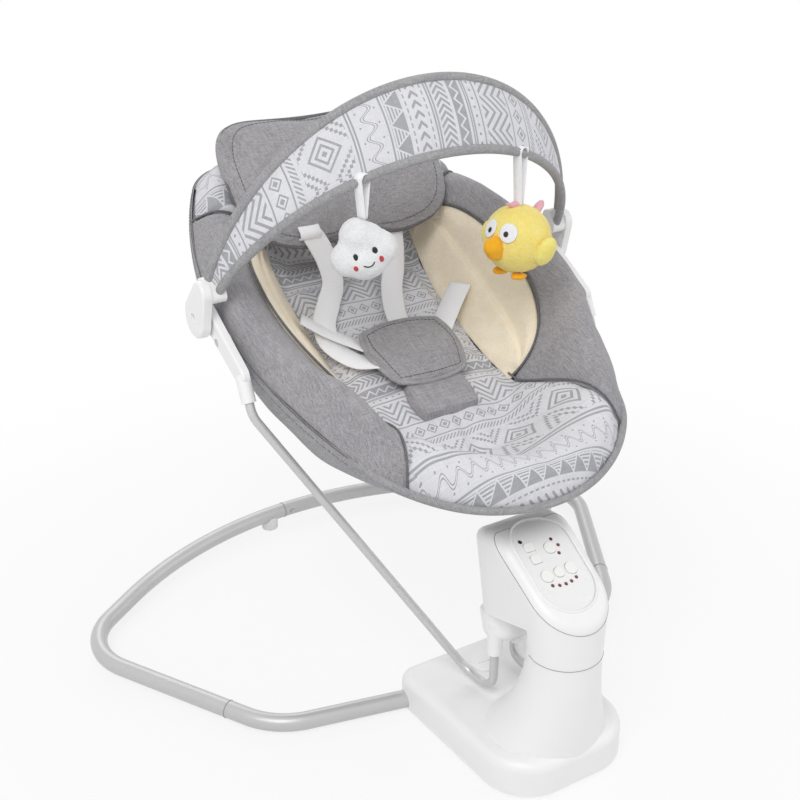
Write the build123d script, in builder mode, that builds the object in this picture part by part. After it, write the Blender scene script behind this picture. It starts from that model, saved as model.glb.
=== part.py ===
import math
import os

from build123d import *

os.makedirs("parts", exist_ok=True)

# Baby swing on a floor ring, with a powered tower at the foot end.
# Millimetres, +Z up, the floor at Z = 0, +Y towards the head end, X = 0 the plane of symmetry.

# General
fit_gap = 0.3
press_gap = 0.05
wall = 2.6

# Floor ring of bent steel tube
tube_od = 19.0
tube_wall = 1.4
ring_tilt = 1.3
ring_height = 10.4
entry_x = 84.0
entry_y = -112.0
entry_depth = 32.0
entry_angle = 12.5
front_corner_x = 221.0
front_corner_radius = 80.0
side_angle = 30.0
front_seam_run = 58.0
side_corner_radius = 70.0
rear_apex_y = 294.5
rear_radius = 450.0
rear_arc_angle = 36.0
rear_seam_x = -20.0
rear_foot_x = -40.0
rear_foot_dia = 21.0
rear_foot_grip = 1.5
rear_foot_round = 2.0
sleeve_half = 20.0
sleeve_wall = 1.5
lock_dia = 5.0
lock_offset = 10.0
lock_proud = 2.0
lock_travel = 2.0

# Tower foot and column
foot_front_y = -301.0
foot_rear_y = -96.0
foot_rear_half = 85.0
foot_front_half = 77.0
foot_front_round = 52.0
foot_rear_round = 18.0
deck_z = 40.0
deck_round = 11.0
boss_y = -138.0
boss_dia = 30.0
boss_height = 2.0
cover_z = 2.0
cover_thick = 3.0
foot_pad_dia = 18.0
foot_pad_x = 52.0
foot_pad_rear_y = -138.0
foot_pad_front_y = -262.0
cradle_x = 64.0
cradle_width = 16.0
column_y = -267.0
column_radius = 36.5
column_base_z = 140.0
flare_half = 70.0
flare_depth = 60.0
flare_levels = 5
flare_power = 2.2
flare_setback = 4.0

# Tower head
seam_z = 172.0
panel_slope = 31.5
panel_y = -264.0
panel_z = 212.5
head_top_y = -224.0
head_top_radius = 50.0
head_high_width = 90.0
column_step = 0.4
head_low_rear_y = -161.0
head_high_rear_y = -145.0
head_high_z = 250.0
head_edge_round = 11.0
panel_width = 60.0
panel_length = 104.0
panel_centre = 24.0
panel_thick = 2.0
panel_sink = 0.8
panel_ledge = 3.0
board_depth = 11.0
board_thick = 1.6
board_width = 50.0
board_length = 78.0
switch_size = 6.0
post_dia = 6.0
post_x = 22.0
post_low_y = -6.0
post_high_y = 22.0
lamp_dia = 3.2
lamp_side_count = 2
lamp_pitch = 7.0
lamp_row_y = 0.3
lamp_row_radius = 36.0
lamp_ring_radius = 10.0
lamp_ring_angle = 52.0
receiver_dia = 4.0
receiver_x = -20.5
receiver_y = 54.2
timer_dia = 12.4
timer_x = 5.0
timer_y = 39.0
speed_dia = 11.0
speed_y = 13.3
side_reach = 14.0
crescent_dia = 13.0
crescent_bite = 16.2
square_width = 11.0
square_height = 9.4
square_round = 2.4
square_x = -15.0
upper_y = 46.0
lower_y = 32.5
button_travel = 1.0
button_proud = 1.4
button_depth = 4.6

# Inclined pivot of the swing
pivot_y = -187.0
pivot_z = 126.0
pivot_angle = 72.0
shaft_dia = 10.0
hub_radius = 29.0
hub_top = 19.0
hub_gap = 1.2
hub_height = 34.0
hub_depth = 46.0
hub_round = 15.0
cap_height = 8.0
cap_dia = 14.0
shaft_below = 14.0
housing_length = 36.0
arm_thick = 4.0
arm_reach = 38.0
magnet_size = 13.0
magnet_rim = 2.0
magnet_height = 8.0
air_gap = 2.0
coil_height = 11.0
coil_dia = 26.0
coil_bore = 10.4
chassis_thick = 3.0
bearing_lip = 2.0
bearing_od = 17.0
bearing_width = 6.0
socket_x = 26.0
socket_y = -191.0
socket_od = 16.0
socket_end_z = 98.0

# Swing rods
rod_dia = 9.0
rod_bend = 20.0
rod_low_z = 50.0
rod_turn_y = -147.0
rod_turn_x = 29.0
bracket_out = 9.0
bracket_thick = 8.0
bracket_overlap = 2.0
bracket_round = 2.5
bracket_high_radius = 12.0
bracket_low_radius = 10.0
bracket_boss_v = 15.0
bracket_boss_dia = 14.0
screw_dia = 4.0
screw_head_dia = 8.0
screw_head_height = 3.0
screw_sink = 0.5
rod_top_y = -20.0
rod_top_z = 378.0
rod_cap = 4.0
rod_grip = 24.0
rod_knee_y = -37.0
rod_knee_z = 345.0
rod_knee_radius = 30.0

# Seat rim, in a plane that rises towards the head end
seat_origin_y = 11.0
seat_origin_z = 400.0
seat_rise = 24.0
seat_half_width = 198.0
bracket_x = seat_half_width + bracket_out
seat_side_radius = 438.0
seat_side_v = 20.0
seat_foot_v = -273.0
seat_head_v = 262.0
seat_head_round = 60.0
hem_height = 18.0
sling_depth = 88.0
sling_inset = 76.0
sling_wall = 2.0
hoop_dia = 14.0
hoop_drop = 9.0
head_round_share = 0.35
crown_height = 12.0
pad_edge_inset = 112.0
pad_half = seat_half_width - pad_edge_inset
pad_head_flare = 26.0
pad_head_half = pad_half + pad_head_flare
pad_waist_v = 60.0
pad_flare_v = -100.0
pad_foot_flare = 62.0
pad_foot_half = pad_half + pad_foot_flare
pad_foot_v = -204.0
wing_edge_inset = 50.0
wing_half = seat_half_width - wing_edge_inset
wing_mid_v = 30.0
wing_high_v = 152.0
wing_low_v = -90.0
cavity_inset = 42.0
cavity_floor = -60.0
cavity_slope_inset = 74.0

# Pillow and harness
pillow_half = 128.0
pillow_height = 148.0
pillow_thick = 64.0
pillow_v = 184.0
pillow_n = 19.0
pillow_tilt = 22.0
pillow_stations = 9
pillow_end_drop = 0.45
pillow_end_thin = 0.8
pillow_nip = 0.28
pillow_end_lift = 16.0
buckle_v = -22.0
buckle_width = 40.0
buckle_length = 46.0
buckle_height = 11.0
buckle_round = 8.0
buckle_edge = 2.0
crotch_v = -36.0
crotch_width = 106.0
crotch_length = 98.0
crotch_thick = 18.0
crotch_stations = 5
crotch_end_drop = 0.3
crotch_end_thin = 0.8
crotch_strap_v = -104.0
crotch_strap_width = 74.0
crotch_strap_length = 34.0
crotch_strap_height = 20.0
strap_spread = 0.2
strap_x = strap_spread * seat_half_width
strap_width = 25.0
strap_thick = 1.8
strap_climb = 34.0
strap_bend = 12.0
waist_v = 26.0
waist_climb = 26.0

# Canopy
canopy_pivot_y = 53.5
canopy_pivot_z = 418.0
canopy_disc_dia = 42.0
canopy_disc_thick = 10.0
canopy_disc_out = 15.0
canopy_disc_inner = seat_half_width + canopy_disc_out
canopy_boss_dia = 20.0
canopy_pin_dia = 9.0
pin_recess = 3.0
bow_dia = 6.0
front_bow_angle = 125.5
front_bow_reach = 194.0
front_bow_out = 9.0
front_bow_half = seat_half_width + front_bow_out
back_bow_angle = 108.7
back_bow_reach = 232.0
back_bow_out = 16.0
back_bow_half = seat_half_width + back_bow_out
band_thick = 3.0
band_start = 18.0
band_stations = 11
band_gap = 0.8
bow_start = 7.5
holder_angle = 9.5
holder_depth = 21.0
holder_radius = 7.5
canopy_arm_reach = 32.0
canopy_arm_radius = 13.0

# Hanging toys
toy_x = 90.0
ribbon_width = 10.0
ribbon_thick = 1.6
cloud_ribbon_length = 33.0
cloud_lobe = 22.0
cloud_small_share = 0.8
cloud_side = 15.0
cloud_low = 40.0
cloud_crease = 6.0
cloud_thick = 38.0
cloud_round = 12.0
cloud_facing = 20.0
chick_ribbon_length = 51.0
chick_radius = 36.0
chick_facing = 25.0
beak_dia = 20.0
beak_length = 14.0
beak_seat = 10.0
beak_taper = 14.0
beak_round = 2.0
chick_wing_width = 26.0
chick_wing_thick = 12.0
chick_wing_length = 18.0
wing_seat = 8.0
chick_foot_dia = 15.0
foot_height = 7.0
foot_spread = 11.0
foot_ahead = 6.0


def save(piece, name):
    piece.part.label = name
    export_step(piece.part, "parts/" + name + ".step")


# Floor ring paths, drawn for the left side in the ring's own plane
ring_rise = math.radians(ring_tilt)
ring_plane = Plane(
    origin=(0, entry_y, ring_height),
    x_dir=(1, 0, 0),
    z_dir=(0, -math.sin(ring_rise), math.cos(ring_rise)),
)
entry_turn = math.radians(entry_angle)
side_turn = math.radians(side_angle)
front_dir = Vector(-math.cos(entry_turn), math.sin(entry_turn))
side_dir = Vector(-math.sin(side_turn), math.cos(side_turn))
lobe_point = Vector(-entry_x, 0)
tube_start = lobe_point - front_dir * entry_depth
front_corner = lobe_point + front_dir * ((front_corner_x - entry_x) / math.cos(entry_turn))
front_seam = front_corner + side_dir * front_seam_run
rear_apex = rear_apex_y - entry_y
rear_centre = Vector(0, rear_apex - rear_radius)
arc_end_turn = math.radians(rear_arc_angle)
arc_end = rear_centre + Vector(-math.sin(arc_end_turn), math.cos(arc_end_turn)) * rear_radius
arc_end_dir = Vector(math.cos(arc_end_turn), math.sin(arc_end_turn))
offset_to_arc = arc_end - front_seam
cross = side_dir.X * arc_end_dir.Y - side_dir.Y * arc_end_dir.X
side_run = (offset_to_arc.X * arc_end_dir.Y - offset_to_arc.Y * arc_end_dir.X) / cross
side_corner = front_seam + side_dir * side_run


def rear_point(x):
    return rear_centre + Vector(x, math.sqrt(rear_radius ** 2 - x ** 2))


def mirrored(a):
    return Vector(-a.X, a.Y)


def on_ring(*spots):
    return [ring_plane.from_local_coords(spot) for spot in spots]


def rear_arc(start_x, end_x):
    return on_ring(rear_point(start_x), rear_point((start_x + end_x) / 2), rear_point(end_x))


with BuildLine() as left_front_path:
    FilletPolyline(on_ring(tube_start, front_corner, front_seam), radius=front_corner_radius)

with BuildLine() as left_ring_path:
    FilletPolyline(on_ring(front_seam, side_corner, arc_end), radius=side_corner_radius)
    ThreePointArc(rear_arc(arc_end.X, rear_seam_x))

with BuildLine() as right_ring_path:
    FilletPolyline(
        on_ring(mirrored(front_seam), mirrored(side_corner), mirrored(arc_end)), radius=side_corner_radius
    )
    ThreePointArc(rear_arc(-arc_end.X, rear_seam_x))

with BuildLine() as rear_sleeve_path:
    ThreePointArc(rear_arc(rear_seam_x - sleeve_half, rear_seam_x + sleeve_half))

with BuildLine() as left_sleeve_path:
    Line(on_ring(front_seam - side_dir * sleeve_half, front_seam + side_dir * sleeve_half))

with BuildLine() as right_sleeve_path:
    Line(on_ring(mirrored(front_seam - side_dir * sleeve_half), mirrored(front_seam + side_dir * sleeve_half)))

# Spring buttons that lock the tube joints point to the inside of the ring
side_inward = Vector(side_dir.Y, -side_dir.X)
lock_out = tube_od / 2 + lock_proud
lock_in = tube_od / 2 - tube_wall - sleeve_wall - lock_travel


def lock_plane(spot, inward):
    origin = ring_plane.from_local_coords(spot)
    direction = ring_plane.from_local_coords(spot + inward) - origin
    return Plane(origin=origin, z_dir=direction)


left_lock_plane = lock_plane(front_seam + side_dir * lock_offset, side_inward)
right_lock_plane = lock_plane(mirrored(front_seam + side_dir * lock_offset), mirrored(side_inward))
rear_lock_plane = lock_plane(rear_point(rear_seam_x + lock_offset), Vector(0, -1))


def ring_tube(path, lock_planes):
    with BuildPart() as tube:
        with BuildSketch(Plane(origin=path.line @ 0, z_dir=path.line % 0)):
            Circle(tube_od / 2)
            Circle(tube_od / 2 - tube_wall, mode=Mode.SUBTRACT)
        sweep(path=path.line)
        for plane in lock_planes:
            with BuildSketch(plane):
                Circle(lock_dia / 2 + fit_gap)
            extrude(amount=tube_od, mode=Mode.SUBTRACT)
    return tube


ring_front_left_tube = ring_tube(left_front_path, [])
save(ring_front_left_tube, "ring_front_left_tube")

with BuildPart() as ring_front_right_tube:
    add(mirror(ring_front_left_tube.part, about=Plane.YZ))
save(ring_front_right_tube, "ring_front_right_tube")

ring_left_tube = ring_tube(left_ring_path, [left_lock_plane])
save(ring_left_tube, "ring_left_tube")

ring_right_tube = ring_tube(right_ring_path, [right_lock_plane, rear_lock_plane])
save(ring_right_tube, "ring_right_tube")

# Steel sleeves inside the three tube joints
sleeve_radius = tube_od / 2 - tube_wall - fit_gap
with BuildPart() as tube_sleeves:
    for path in (left_sleeve_path, right_sleeve_path, rear_sleeve_path):
        with BuildSketch(Plane(origin=path.line @ 0, z_dir=path.line % 0)):
            Circle(sleeve_radius)
            Circle(sleeve_radius - sleeve_wall, mode=Mode.SUBTRACT)
        sweep(path=path.line)
    for plane in (left_lock_plane, right_lock_plane, rear_lock_plane):
        with BuildSketch(plane):
            Circle(lock_dia / 2 + fit_gap)
        extrude(amount=tube_od, mode=Mode.SUBTRACT)
save(tube_sleeves, "tube_sleeves")

for lock_name, plane in (("left", left_lock_plane), ("right", right_lock_plane), ("rear", rear_lock_plane)):
    with BuildPart() as tube_lock_button:
        with BuildSketch(plane.offset(lock_in)):
            Circle(lock_dia / 2)
        extrude(amount=lock_out - lock_in)
        tip = tube_lock_button.faces().sort_by(Axis(plane.origin, plane.z_dir))[-1]
        fillet(tip.edges(), radius=lock_dia / 4)
    save(tube_lock_button, "tube_lock_button_" + lock_name)

# Rear foot: a moulded saddle under the raised back of the ring
rear_foot_spot = ring_plane.from_local_coords(rear_point(rear_foot_x))
with BuildPart() as left_ring_room:
    with BuildSketch(Plane(origin=left_ring_path.line @ 0, z_dir=left_ring_path.line % 0)):
        Circle(tube_od / 2 + fit_gap)
    sweep(path=left_ring_path.line)
with BuildPart() as rear_foot:
    with BuildSketch(Plane.XY):
        with Locations((rear_foot_spot.X, rear_foot_spot.Y)):
            Circle(rear_foot_dia / 2)
    extrude(amount=rear_foot_spot.Z - rear_foot_grip)
    fillet(rear_foot.faces().sort_by(Axis.Z)[0].edges(), radius=rear_foot_round)
    add(left_ring_room.part, mode=Mode.SUBTRACT)
save(rear_foot, "rear_foot")


# Tower foot: a deep tray with a flared neck that carries the column
column_front_y = column_y - column_radius
head_front_y = column_front_y - column_step
head_low_width = 2 * (column_radius + column_step)


def foot_outline(inset):
    with BuildSketch() as outline:
        with BuildLine():
            Polyline(
                (-foot_rear_half, foot_rear_y),
                (foot_rear_half, foot_rear_y),
                (foot_front_half, foot_front_y),
                (-foot_front_half, foot_front_y),
                close=True,
            )
        make_face()
        fillet(outline.vertices().group_by(Axis.Y)[0], radius=foot_front_round)
        fillet(outline.vertices().group_by(Axis.Y)[-1], radius=foot_rear_round)
        if inset:
            offset(amount=-inset, mode=Mode.REPLACE)
    return outline.sketch_local


def flare(inset, low_z, high_z):
    with BuildPart() as neck:
        for step in range(flare_levels):
            share = step / (flare_levels - 1)
            spread = (1 - share) ** flare_power
            half = column_radius + (flare_half - column_radius) * spread - inset
            depth = column_radius + (flare_depth - column_radius) * spread - inset
            with BuildSketch(Plane.XY.offset(low_z + (high_z - low_z) * share)):
                with Locations((0, column_front_y + inset + depth + flare_setback * spread)):
                    Ellipse(half, depth)
        loft()
    return neck.part


foot_plan = foot_outline(0)
foot_plan_inside = foot_outline(wall)
cover_plan = foot_outline(wall + fit_gap)
neck_base_z = deck_z - deck_round
neck_outside = flare(0, neck_base_z, column_base_z)
neck_inside = flare(wall, neck_base_z - wall, column_base_z)
left_tube_plane = Plane(origin=left_front_path.line @ 0, z_dir=left_front_path.line % 0)
right_tube_plane = Plane(
    origin=(-left_tube_plane.origin.X, left_tube_plane.origin.Y, left_tube_plane.origin.Z),
    z_dir=(-left_tube_plane.z_dir.X, left_tube_plane.z_dir.Y, left_tube_plane.z_dir.Z),
)

with BuildPart() as tray_room:
    with BuildSketch(Plane.XY.offset(cover_z)):
        add(foot_plan_inside)
    extrude(amount=deck_z - cover_z - wall)
    fillet(tray_room.faces().sort_by(Axis.Z)[-1].edges(), radius=deck_round - wall)

with BuildPart() as tower_foot:
    with BuildSketch(Plane.XY.offset(cover_z)):
        add(foot_plan)
    extrude(amount=deck_z - cover_z)
    fillet(tower_foot.faces().sort_by(Axis.Z)[-1].edges(), radius=deck_round)
    fillet(tower_foot.faces().sort_by(Axis.Z)[0].edges(), radius=wall / 2)
    add(neck_outside)
    with BuildSketch(Plane.XY.offset(deck_z - wall / 2)):
        with Locations((0, boss_y)):
            Circle(boss_dia / 2)
    extrude(amount=boss_height + wall / 2)
    with BuildSketch(Plane.XY.offset(deck_z + boss_height / 2)):
        with Locations((0, boss_y)):
            SlotOverall(boss_dia / 2, boss_height)
    extrude(amount=boss_height, mode=Mode.SUBTRACT)
    add(tray_room.part, mode=Mode.SUBTRACT)
    add(neck_inside, mode=Mode.SUBTRACT)
    for plane in (left_tube_plane, right_tube_plane):
        with BuildSketch(plane):
            Circle(tube_od / 2 + fit_gap)
        extrude(amount=2 * entry_depth, mode=Mode.SUBTRACT)
save(tower_foot, "tower_foot")

# Bottom cover with cradles for the two tube ends
pad_spots = [
    (-foot_pad_x, foot_pad_rear_y),
    (foot_pad_x, foot_pad_rear_y),
    (-foot_pad_x, foot_pad_front_y),
    (foot_pad_x, foot_pad_front_y),
]
with BuildPart() as base_cover:
    with BuildSketch(Plane.XY.offset(cover_z)):
        add(cover_plan)
    extrude(amount=cover_thick)
    with BuildSketch(Plane.XY.offset(cover_z)):
        with Locations((-cradle_x, entry_y), (cradle_x, entry_y)):
            Rectangle(cradle_width, tube_od)
    extrude(amount=ring_height - cover_z)
    with BuildSketch(Plane.XY.offset(cover_z)):
        with Locations(*pad_spots):
            Circle(foot_pad_dia / 2)
    extrude(amount=cover_thick / 2, mode=Mode.SUBTRACT)
    for plane in (left_tube_plane, right_tube_plane):
        with BuildSketch(plane):
            Circle(tube_od / 2 + fit_gap)
        extrude(amount=2 * entry_depth, mode=Mode.SUBTRACT)
save(base_cover, "base_cover")

with BuildPart() as rubber_feet:
    with BuildSketch(Plane.XY):
        with Locations(*pad_spots):
            Circle(foot_pad_dia / 2 - fit_gap)
    extrude(amount=cover_z + cover_thick / 2)
save(rubber_feet, "rubber_feet")


# Tower column and head: a rounded pod on a short column, in two shells
slope = math.radians(panel_slope)
pivot_turn = math.radians(pivot_angle)
pivot = Vector(0, pivot_y, pivot_z)
pivot_dir = Vector(0, math.cos(pivot_turn), math.sin(pivot_turn))
forward_dir = Vector(0, -math.sin(pivot_turn), math.cos(pivot_turn))
panel_plane = Plane(
    origin=(0, panel_y, panel_z), x_dir=(1, 0, 0), z_dir=(0, -math.sin(slope), math.cos(slope))
)


def pivot_plane(along, forward=0.0):
    spot = pivot + pivot_dir * along + forward_dir * forward
    return Plane(origin=spot, x_dir=(1, 0, 0), z_dir=pivot_dir)


def head_profile(inset):
    top_turn = Vector(math.sin(slope), -math.cos(slope))
    top_start = Vector(head_top_y, panel_z + (head_top_y - panel_y) * math.tan(slope))
    top_centre = top_start + top_turn * head_top_radius
    rear_point_top = top_centre + Vector(head_top_radius, 0)
    arc_turn = math.radians((90 - panel_slope) / 2 + panel_slope - 90)
    arc_mid = top_centre + Vector(math.sin(-arc_turn), math.cos(arc_turn)) * head_top_radius
    front = head_front_y - wall
    front_top = panel_z + (front - panel_y) * math.tan(slope)
    with BuildSketch(Plane.YZ) as profile:
        with BuildLine():
            Polyline((rear_point_top.X, column_base_z - wall), (front, column_base_z - wall), (front, front_top))
            Line((front, front_top), top_start)
            ThreePointArc(top_start, arc_mid, rear_point_top)
            Line(rear_point_top, (rear_point_top.X, column_base_z - wall))
        make_face()
        if inset:
            offset(amount=-inset, mode=Mode.REPLACE)
    return profile.sketch_local


def pod(inset, top_inset):
    profile = head_profile(top_inset)
    bay_reach = pivot_y - column_y
    low_length = head_low_rear_y - head_front_y
    high_length = head_high_rear_y - head_front_y
    with BuildPart() as block:
        with BuildSketch(Plane.XY.offset(column_base_z)):
            with Locations((0, head_front_y + low_length / 2)):
                SlotOverall(low_length - 2 * inset, head_low_width - 2 * inset, rotation=90)
        with BuildSketch(Plane.XY.offset(head_high_z)):
            with Locations((0, head_front_y + high_length / 2)):
                SlotOverall(high_length - 2 * inset, head_high_width - 2 * inset, rotation=90)
        loft()
        with BuildSketch(Plane.YZ.offset(-head_high_width)):
            add(profile)
        extrude(amount=2 * head_high_width, mode=Mode.INTERSECT)
        crown = block.faces().sort_by(Axis.Z)[-2:]
        fillet(crown.edges().filter_by(GeomType.LINE, reverse=True), radius=head_edge_round - inset)
        with BuildSketch(pivot_plane(hub_top + hub_gap + inset - 2 * hub_radius)):
            with Locations((0, head_high_width - bay_reach)):
                Rectangle(2 * head_high_width, 2 * head_high_width)
        extrude(amount=2 * hub_radius, mode=Mode.SUBTRACT)
        with BuildSketch(Plane.XY.offset(column_base_z)):
            with Locations((0, column_y)):
                Circle(column_radius - inset)
        extrude(amount=seam_z - column_base_z + wall)
    return block.part


def panel_slot(margin):
    with BuildSketch() as slot:
        with Locations((0, panel_centre)):
            SlotOverall(panel_length + 2 * margin, panel_width + 2 * margin, rotation=90)
    return slot.sketch_local


pod_outside = pod(0, 0)
pod_inside = pod(wall, wall + panel_thick)
panel_top_profile = head_profile(panel_sink)
panel_low_profile = head_profile(panel_sink + panel_thick)
panel_plan = panel_slot(0)
panel_recess = panel_slot(fit_gap)
panel_opening = panel_slot(-panel_ledge)
deep = head_high_z - column_base_z

with BuildPart() as panel_pocket:
    with BuildSketch(panel_plane.offset(-deep / 2)):
        add(panel_recess)
    extrude(amount=deep)
    with BuildSketch(Plane.YZ.offset(-head_high_width)):
        add(panel_low_profile)
    extrude(amount=2 * head_high_width, mode=Mode.SUBTRACT)

with BuildPart() as tower_shell:
    add(pod_outside)
    add(pod_inside, mode=Mode.SUBTRACT)

with BuildPart() as tower_column:
    add(tower_shell.part)
    split(bisect_by=Plane.XY.offset(seam_z), keep=Keep.BOTTOM)
    with BuildSketch(pivot_plane(0)):
        Circle(shaft_dia / 2 + 2 * fit_gap)
    extrude(amount=deep, mode=Mode.SUBTRACT)
save(tower_column, "tower_column")

with BuildPart() as tower_head:
    add(tower_shell.part)
    split(bisect_by=Plane.XY.offset(seam_z), keep=Keep.TOP)
    add(panel_pocket.part, mode=Mode.SUBTRACT)
    with BuildSketch(panel_plane.offset(-deep / 4)):
        add(panel_opening)
    extrude(amount=deep, mode=Mode.SUBTRACT)
save(tower_head, "tower_head")

# Control panel: a curved oval insert with guided buttons, indicator lamps and a remote receiver
timer_spot = (timer_x, timer_y)
upper_spot = (square_x, upper_y)
lower_spot = (square_x, lower_y)
speed_spot = (0.0, speed_y)
minus_spot = (-side_reach, speed_y)
plus_spot = (side_reach, speed_y)
receiver_spot = (receiver_x, receiver_y)
lamp_spots = []
for count in range(-lamp_side_count, lamp_side_count + 1):
    across = count * lamp_pitch
    lamp_spots.append((across, lamp_row_y + across ** 2 / (2 * lamp_row_radius)))
for count in (-1, 0, 1):
    turn = math.radians(count * lamp_ring_angle)
    lamp_spots.append((timer_x + lamp_ring_radius * math.cos(turn), timer_y + lamp_ring_radius * math.sin(turn)))
post_spots = [(-post_x, post_low_y), (post_x, post_low_y), (-post_x, post_high_y), (post_x, post_high_y)]


def round_face(spot, dia):
    with BuildSketch() as face:
        with Locations(spot):
            Circle(dia / 2)
    return face.sketch_local


def square_face(spot, margin):
    with BuildSketch() as face:
        with Locations(spot):
            RectangleRounded(square_width + 2 * margin, square_height + 2 * margin, square_round)
    return face.sketch_local


def crescent_face(spot, margin):
    with BuildSketch() as face:
        with Locations(spot):
            Circle(crescent_dia / 2 + margin)
        with Locations(speed_spot):
            Circle(crescent_bite / 2 - margin, mode=Mode.SUBTRACT)
    return face.sketch_local


def button_face(kind, margin):
    if kind == "timer":
        return round_face(timer_spot, timer_dia + 2 * margin)
    if kind == "speed":
        return round_face(speed_spot, speed_dia + 2 * margin)
    if kind == "upper":
        return square_face(upper_spot, margin)
    if kind == "lower":
        return square_face(lower_spot, margin)
    if kind == "minus":
        return crescent_face(minus_spot, margin)
    return crescent_face(plus_spot, margin)


button_kinds = ("upper", "lower", "timer", "minus", "speed", "plus")
button_holes = [button_face(kind, fit_gap) for kind in button_kinds]

with BuildPart() as control_panel:
    with BuildSketch(Plane.YZ.offset(-head_high_width)):
        add(panel_top_profile)
    extrude(amount=2 * head_high_width)
    with BuildSketch(Plane.YZ.offset(-head_high_width)):
        add(panel_low_profile)
    extrude(amount=2 * head_high_width, mode=Mode.SUBTRACT)
    with BuildSketch(panel_plane.offset(-deep / 4)):
        add(panel_plan)
    extrude(amount=deep, mode=Mode.INTERSECT)
    with BuildSketch(panel_plane.offset(-board_depth)):
        with Locations(*post_spots):
            Circle(post_dia / 2)
    extrude(amount=board_depth - panel_sink - panel_thick / 2)
    with BuildSketch(panel_plane.offset(-board_depth)):
        for hole in button_holes:
            add(hole)
        with Locations(*lamp_spots):
            Circle(lamp_dia / 2 + fit_gap)
        with Locations(receiver_spot):
            Circle(receiver_dia / 2 + fit_gap)
    extrude(amount=2 * board_depth, mode=Mode.SUBTRACT)
save(control_panel, "control_panel")

for kind in button_kinds:
    button_plan = button_face(kind, 0)
    with BuildPart() as panel_button:
        with BuildSketch(panel_plane.offset(button_proud - panel_sink - button_depth)):
            add(button_plan)
        extrude(amount=button_depth)
        cap = panel_button.faces().sort_by(Axis(panel_plane.origin, panel_plane.z_dir))[-1]
        fillet(cap.edges(), radius=button_proud / 2)
    save(panel_button, kind + "_button")

switch_top = button_proud - panel_sink - button_depth - button_travel - fit_gap
with BuildPart() as control_board:
    with BuildSketch(panel_plane.offset(-board_depth - board_thick)):
        with Locations((0, panel_centre)):
            RectangleRounded(board_width, board_length, post_dia)
    extrude(amount=board_thick)
    with BuildSketch(panel_plane.offset(-board_depth)):
        with Locations(upper_spot, lower_spot, timer_spot, speed_spot, minus_spot, plus_spot):
            Rectangle(switch_size, switch_size)
    extrude(amount=board_depth + switch_top)
save(control_board, "control_board")

with BuildPart() as indicator_lamps:
    with BuildSketch(panel_plane.offset(-board_depth)):
        with Locations(*lamp_spots):
            Circle(lamp_dia / 2)
    extrude(amount=board_depth - panel_sink)
save(indicator_lamps, "indicator_lamps")

with BuildPart() as remote_receiver:
    with BuildSketch(panel_plane.offset(-board_depth)):
        with Locations(receiver_spot):
            Circle(receiver_dia / 2)
    extrude(amount=board_depth - panel_sink - panel_thick / 2)
save(remote_receiver, "remote_receiver")

# Drive chassis: a plate with the bearing tube and the post of the drive coil
floor_along = hub_top + hub_gap + wall
arm_along = floor_along + housing_length + fit_gap
coil_top = arm_along - magnet_height - air_gap
with BuildPart() as drive_chassis:
    with BuildSketch(pivot_plane(floor_along)):
        Circle(bearing_od / 2 + wall)
        with Locations((0, -arm_reach)):
            Circle(coil_dia / 3)
        make_hull()
    extrude(amount=chassis_thick)
    with BuildSketch(pivot_plane(floor_along)):
        Circle(bearing_od / 2 + wall)
    extrude(amount=housing_length)
    with BuildSketch(pivot_plane(floor_along, arm_reach)):
        Circle(coil_dia / 3)
    extrude(amount=coil_top - coil_height - floor_along)
    with BuildSketch(pivot_plane(floor_along, arm_reach)):
        Circle(coil_bore / 2 - fit_gap)
    extrude(amount=coil_top - floor_along)
    with BuildSketch(pivot_plane(floor_along)):
        Circle(bearing_od / 2)
    extrude(amount=bearing_width, mode=Mode.SUBTRACT)
    with BuildSketch(pivot_plane(floor_along + housing_length - bearing_width)):
        Circle(bearing_od / 2)
    extrude(amount=bearing_width, mode=Mode.SUBTRACT)
    with BuildSketch(pivot_plane(floor_along)):
        Circle(bearing_od / 2 - bearing_lip)
    extrude(amount=housing_length, mode=Mode.SUBTRACT)
save(drive_chassis, "drive_chassis")

with BuildPart() as pivot_bearings:
    for along in (floor_along, floor_along + housing_length - bearing_width):
        with BuildSketch(pivot_plane(along)):
            Circle(bearing_od / 2 - press_gap)
            Circle(shaft_dia / 2 + press_gap, mode=Mode.SUBTRACT)
        extrude(amount=bearing_width)
save(pivot_bearings, "pivot_bearings")

with BuildPart() as drive_coil:
    with BuildSketch(pivot_plane(coil_top - coil_height, arm_reach)):
        Circle(coil_dia / 2)
        Circle(coil_bore / 2, mode=Mode.SUBTRACT)
    extrude(amount=coil_height)
save(drive_coil, "drive_coil")

# Swing: shaft, magnet arm, hub and the two bent rods
with BuildPart() as pivot_shaft:
    with BuildSketch(pivot_plane(-shaft_below)):
        Circle(shaft_dia / 2)
    extrude(amount=arm_along + arm_thick + shaft_below)
save(pivot_shaft, "pivot_shaft")

with BuildPart() as magnet_arm:
    with BuildSketch(pivot_plane(arm_along)):
        Circle(shaft_dia)
        with Locations((0, -arm_reach)):
            Circle(magnet_size / 2 + magnet_rim)
        make_hull()
        Circle(shaft_dia / 2 + press_gap, mode=Mode.SUBTRACT)
    extrude(amount=arm_thick)
save(magnet_arm, "magnet_arm")

with BuildPart() as drive_magnet:
    with BuildSketch(pivot_plane(arm_along - magnet_height, arm_reach)):
        Rectangle(magnet_size, magnet_size)
    extrude(amount=magnet_height)
save(drive_magnet, "drive_magnet")

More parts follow.
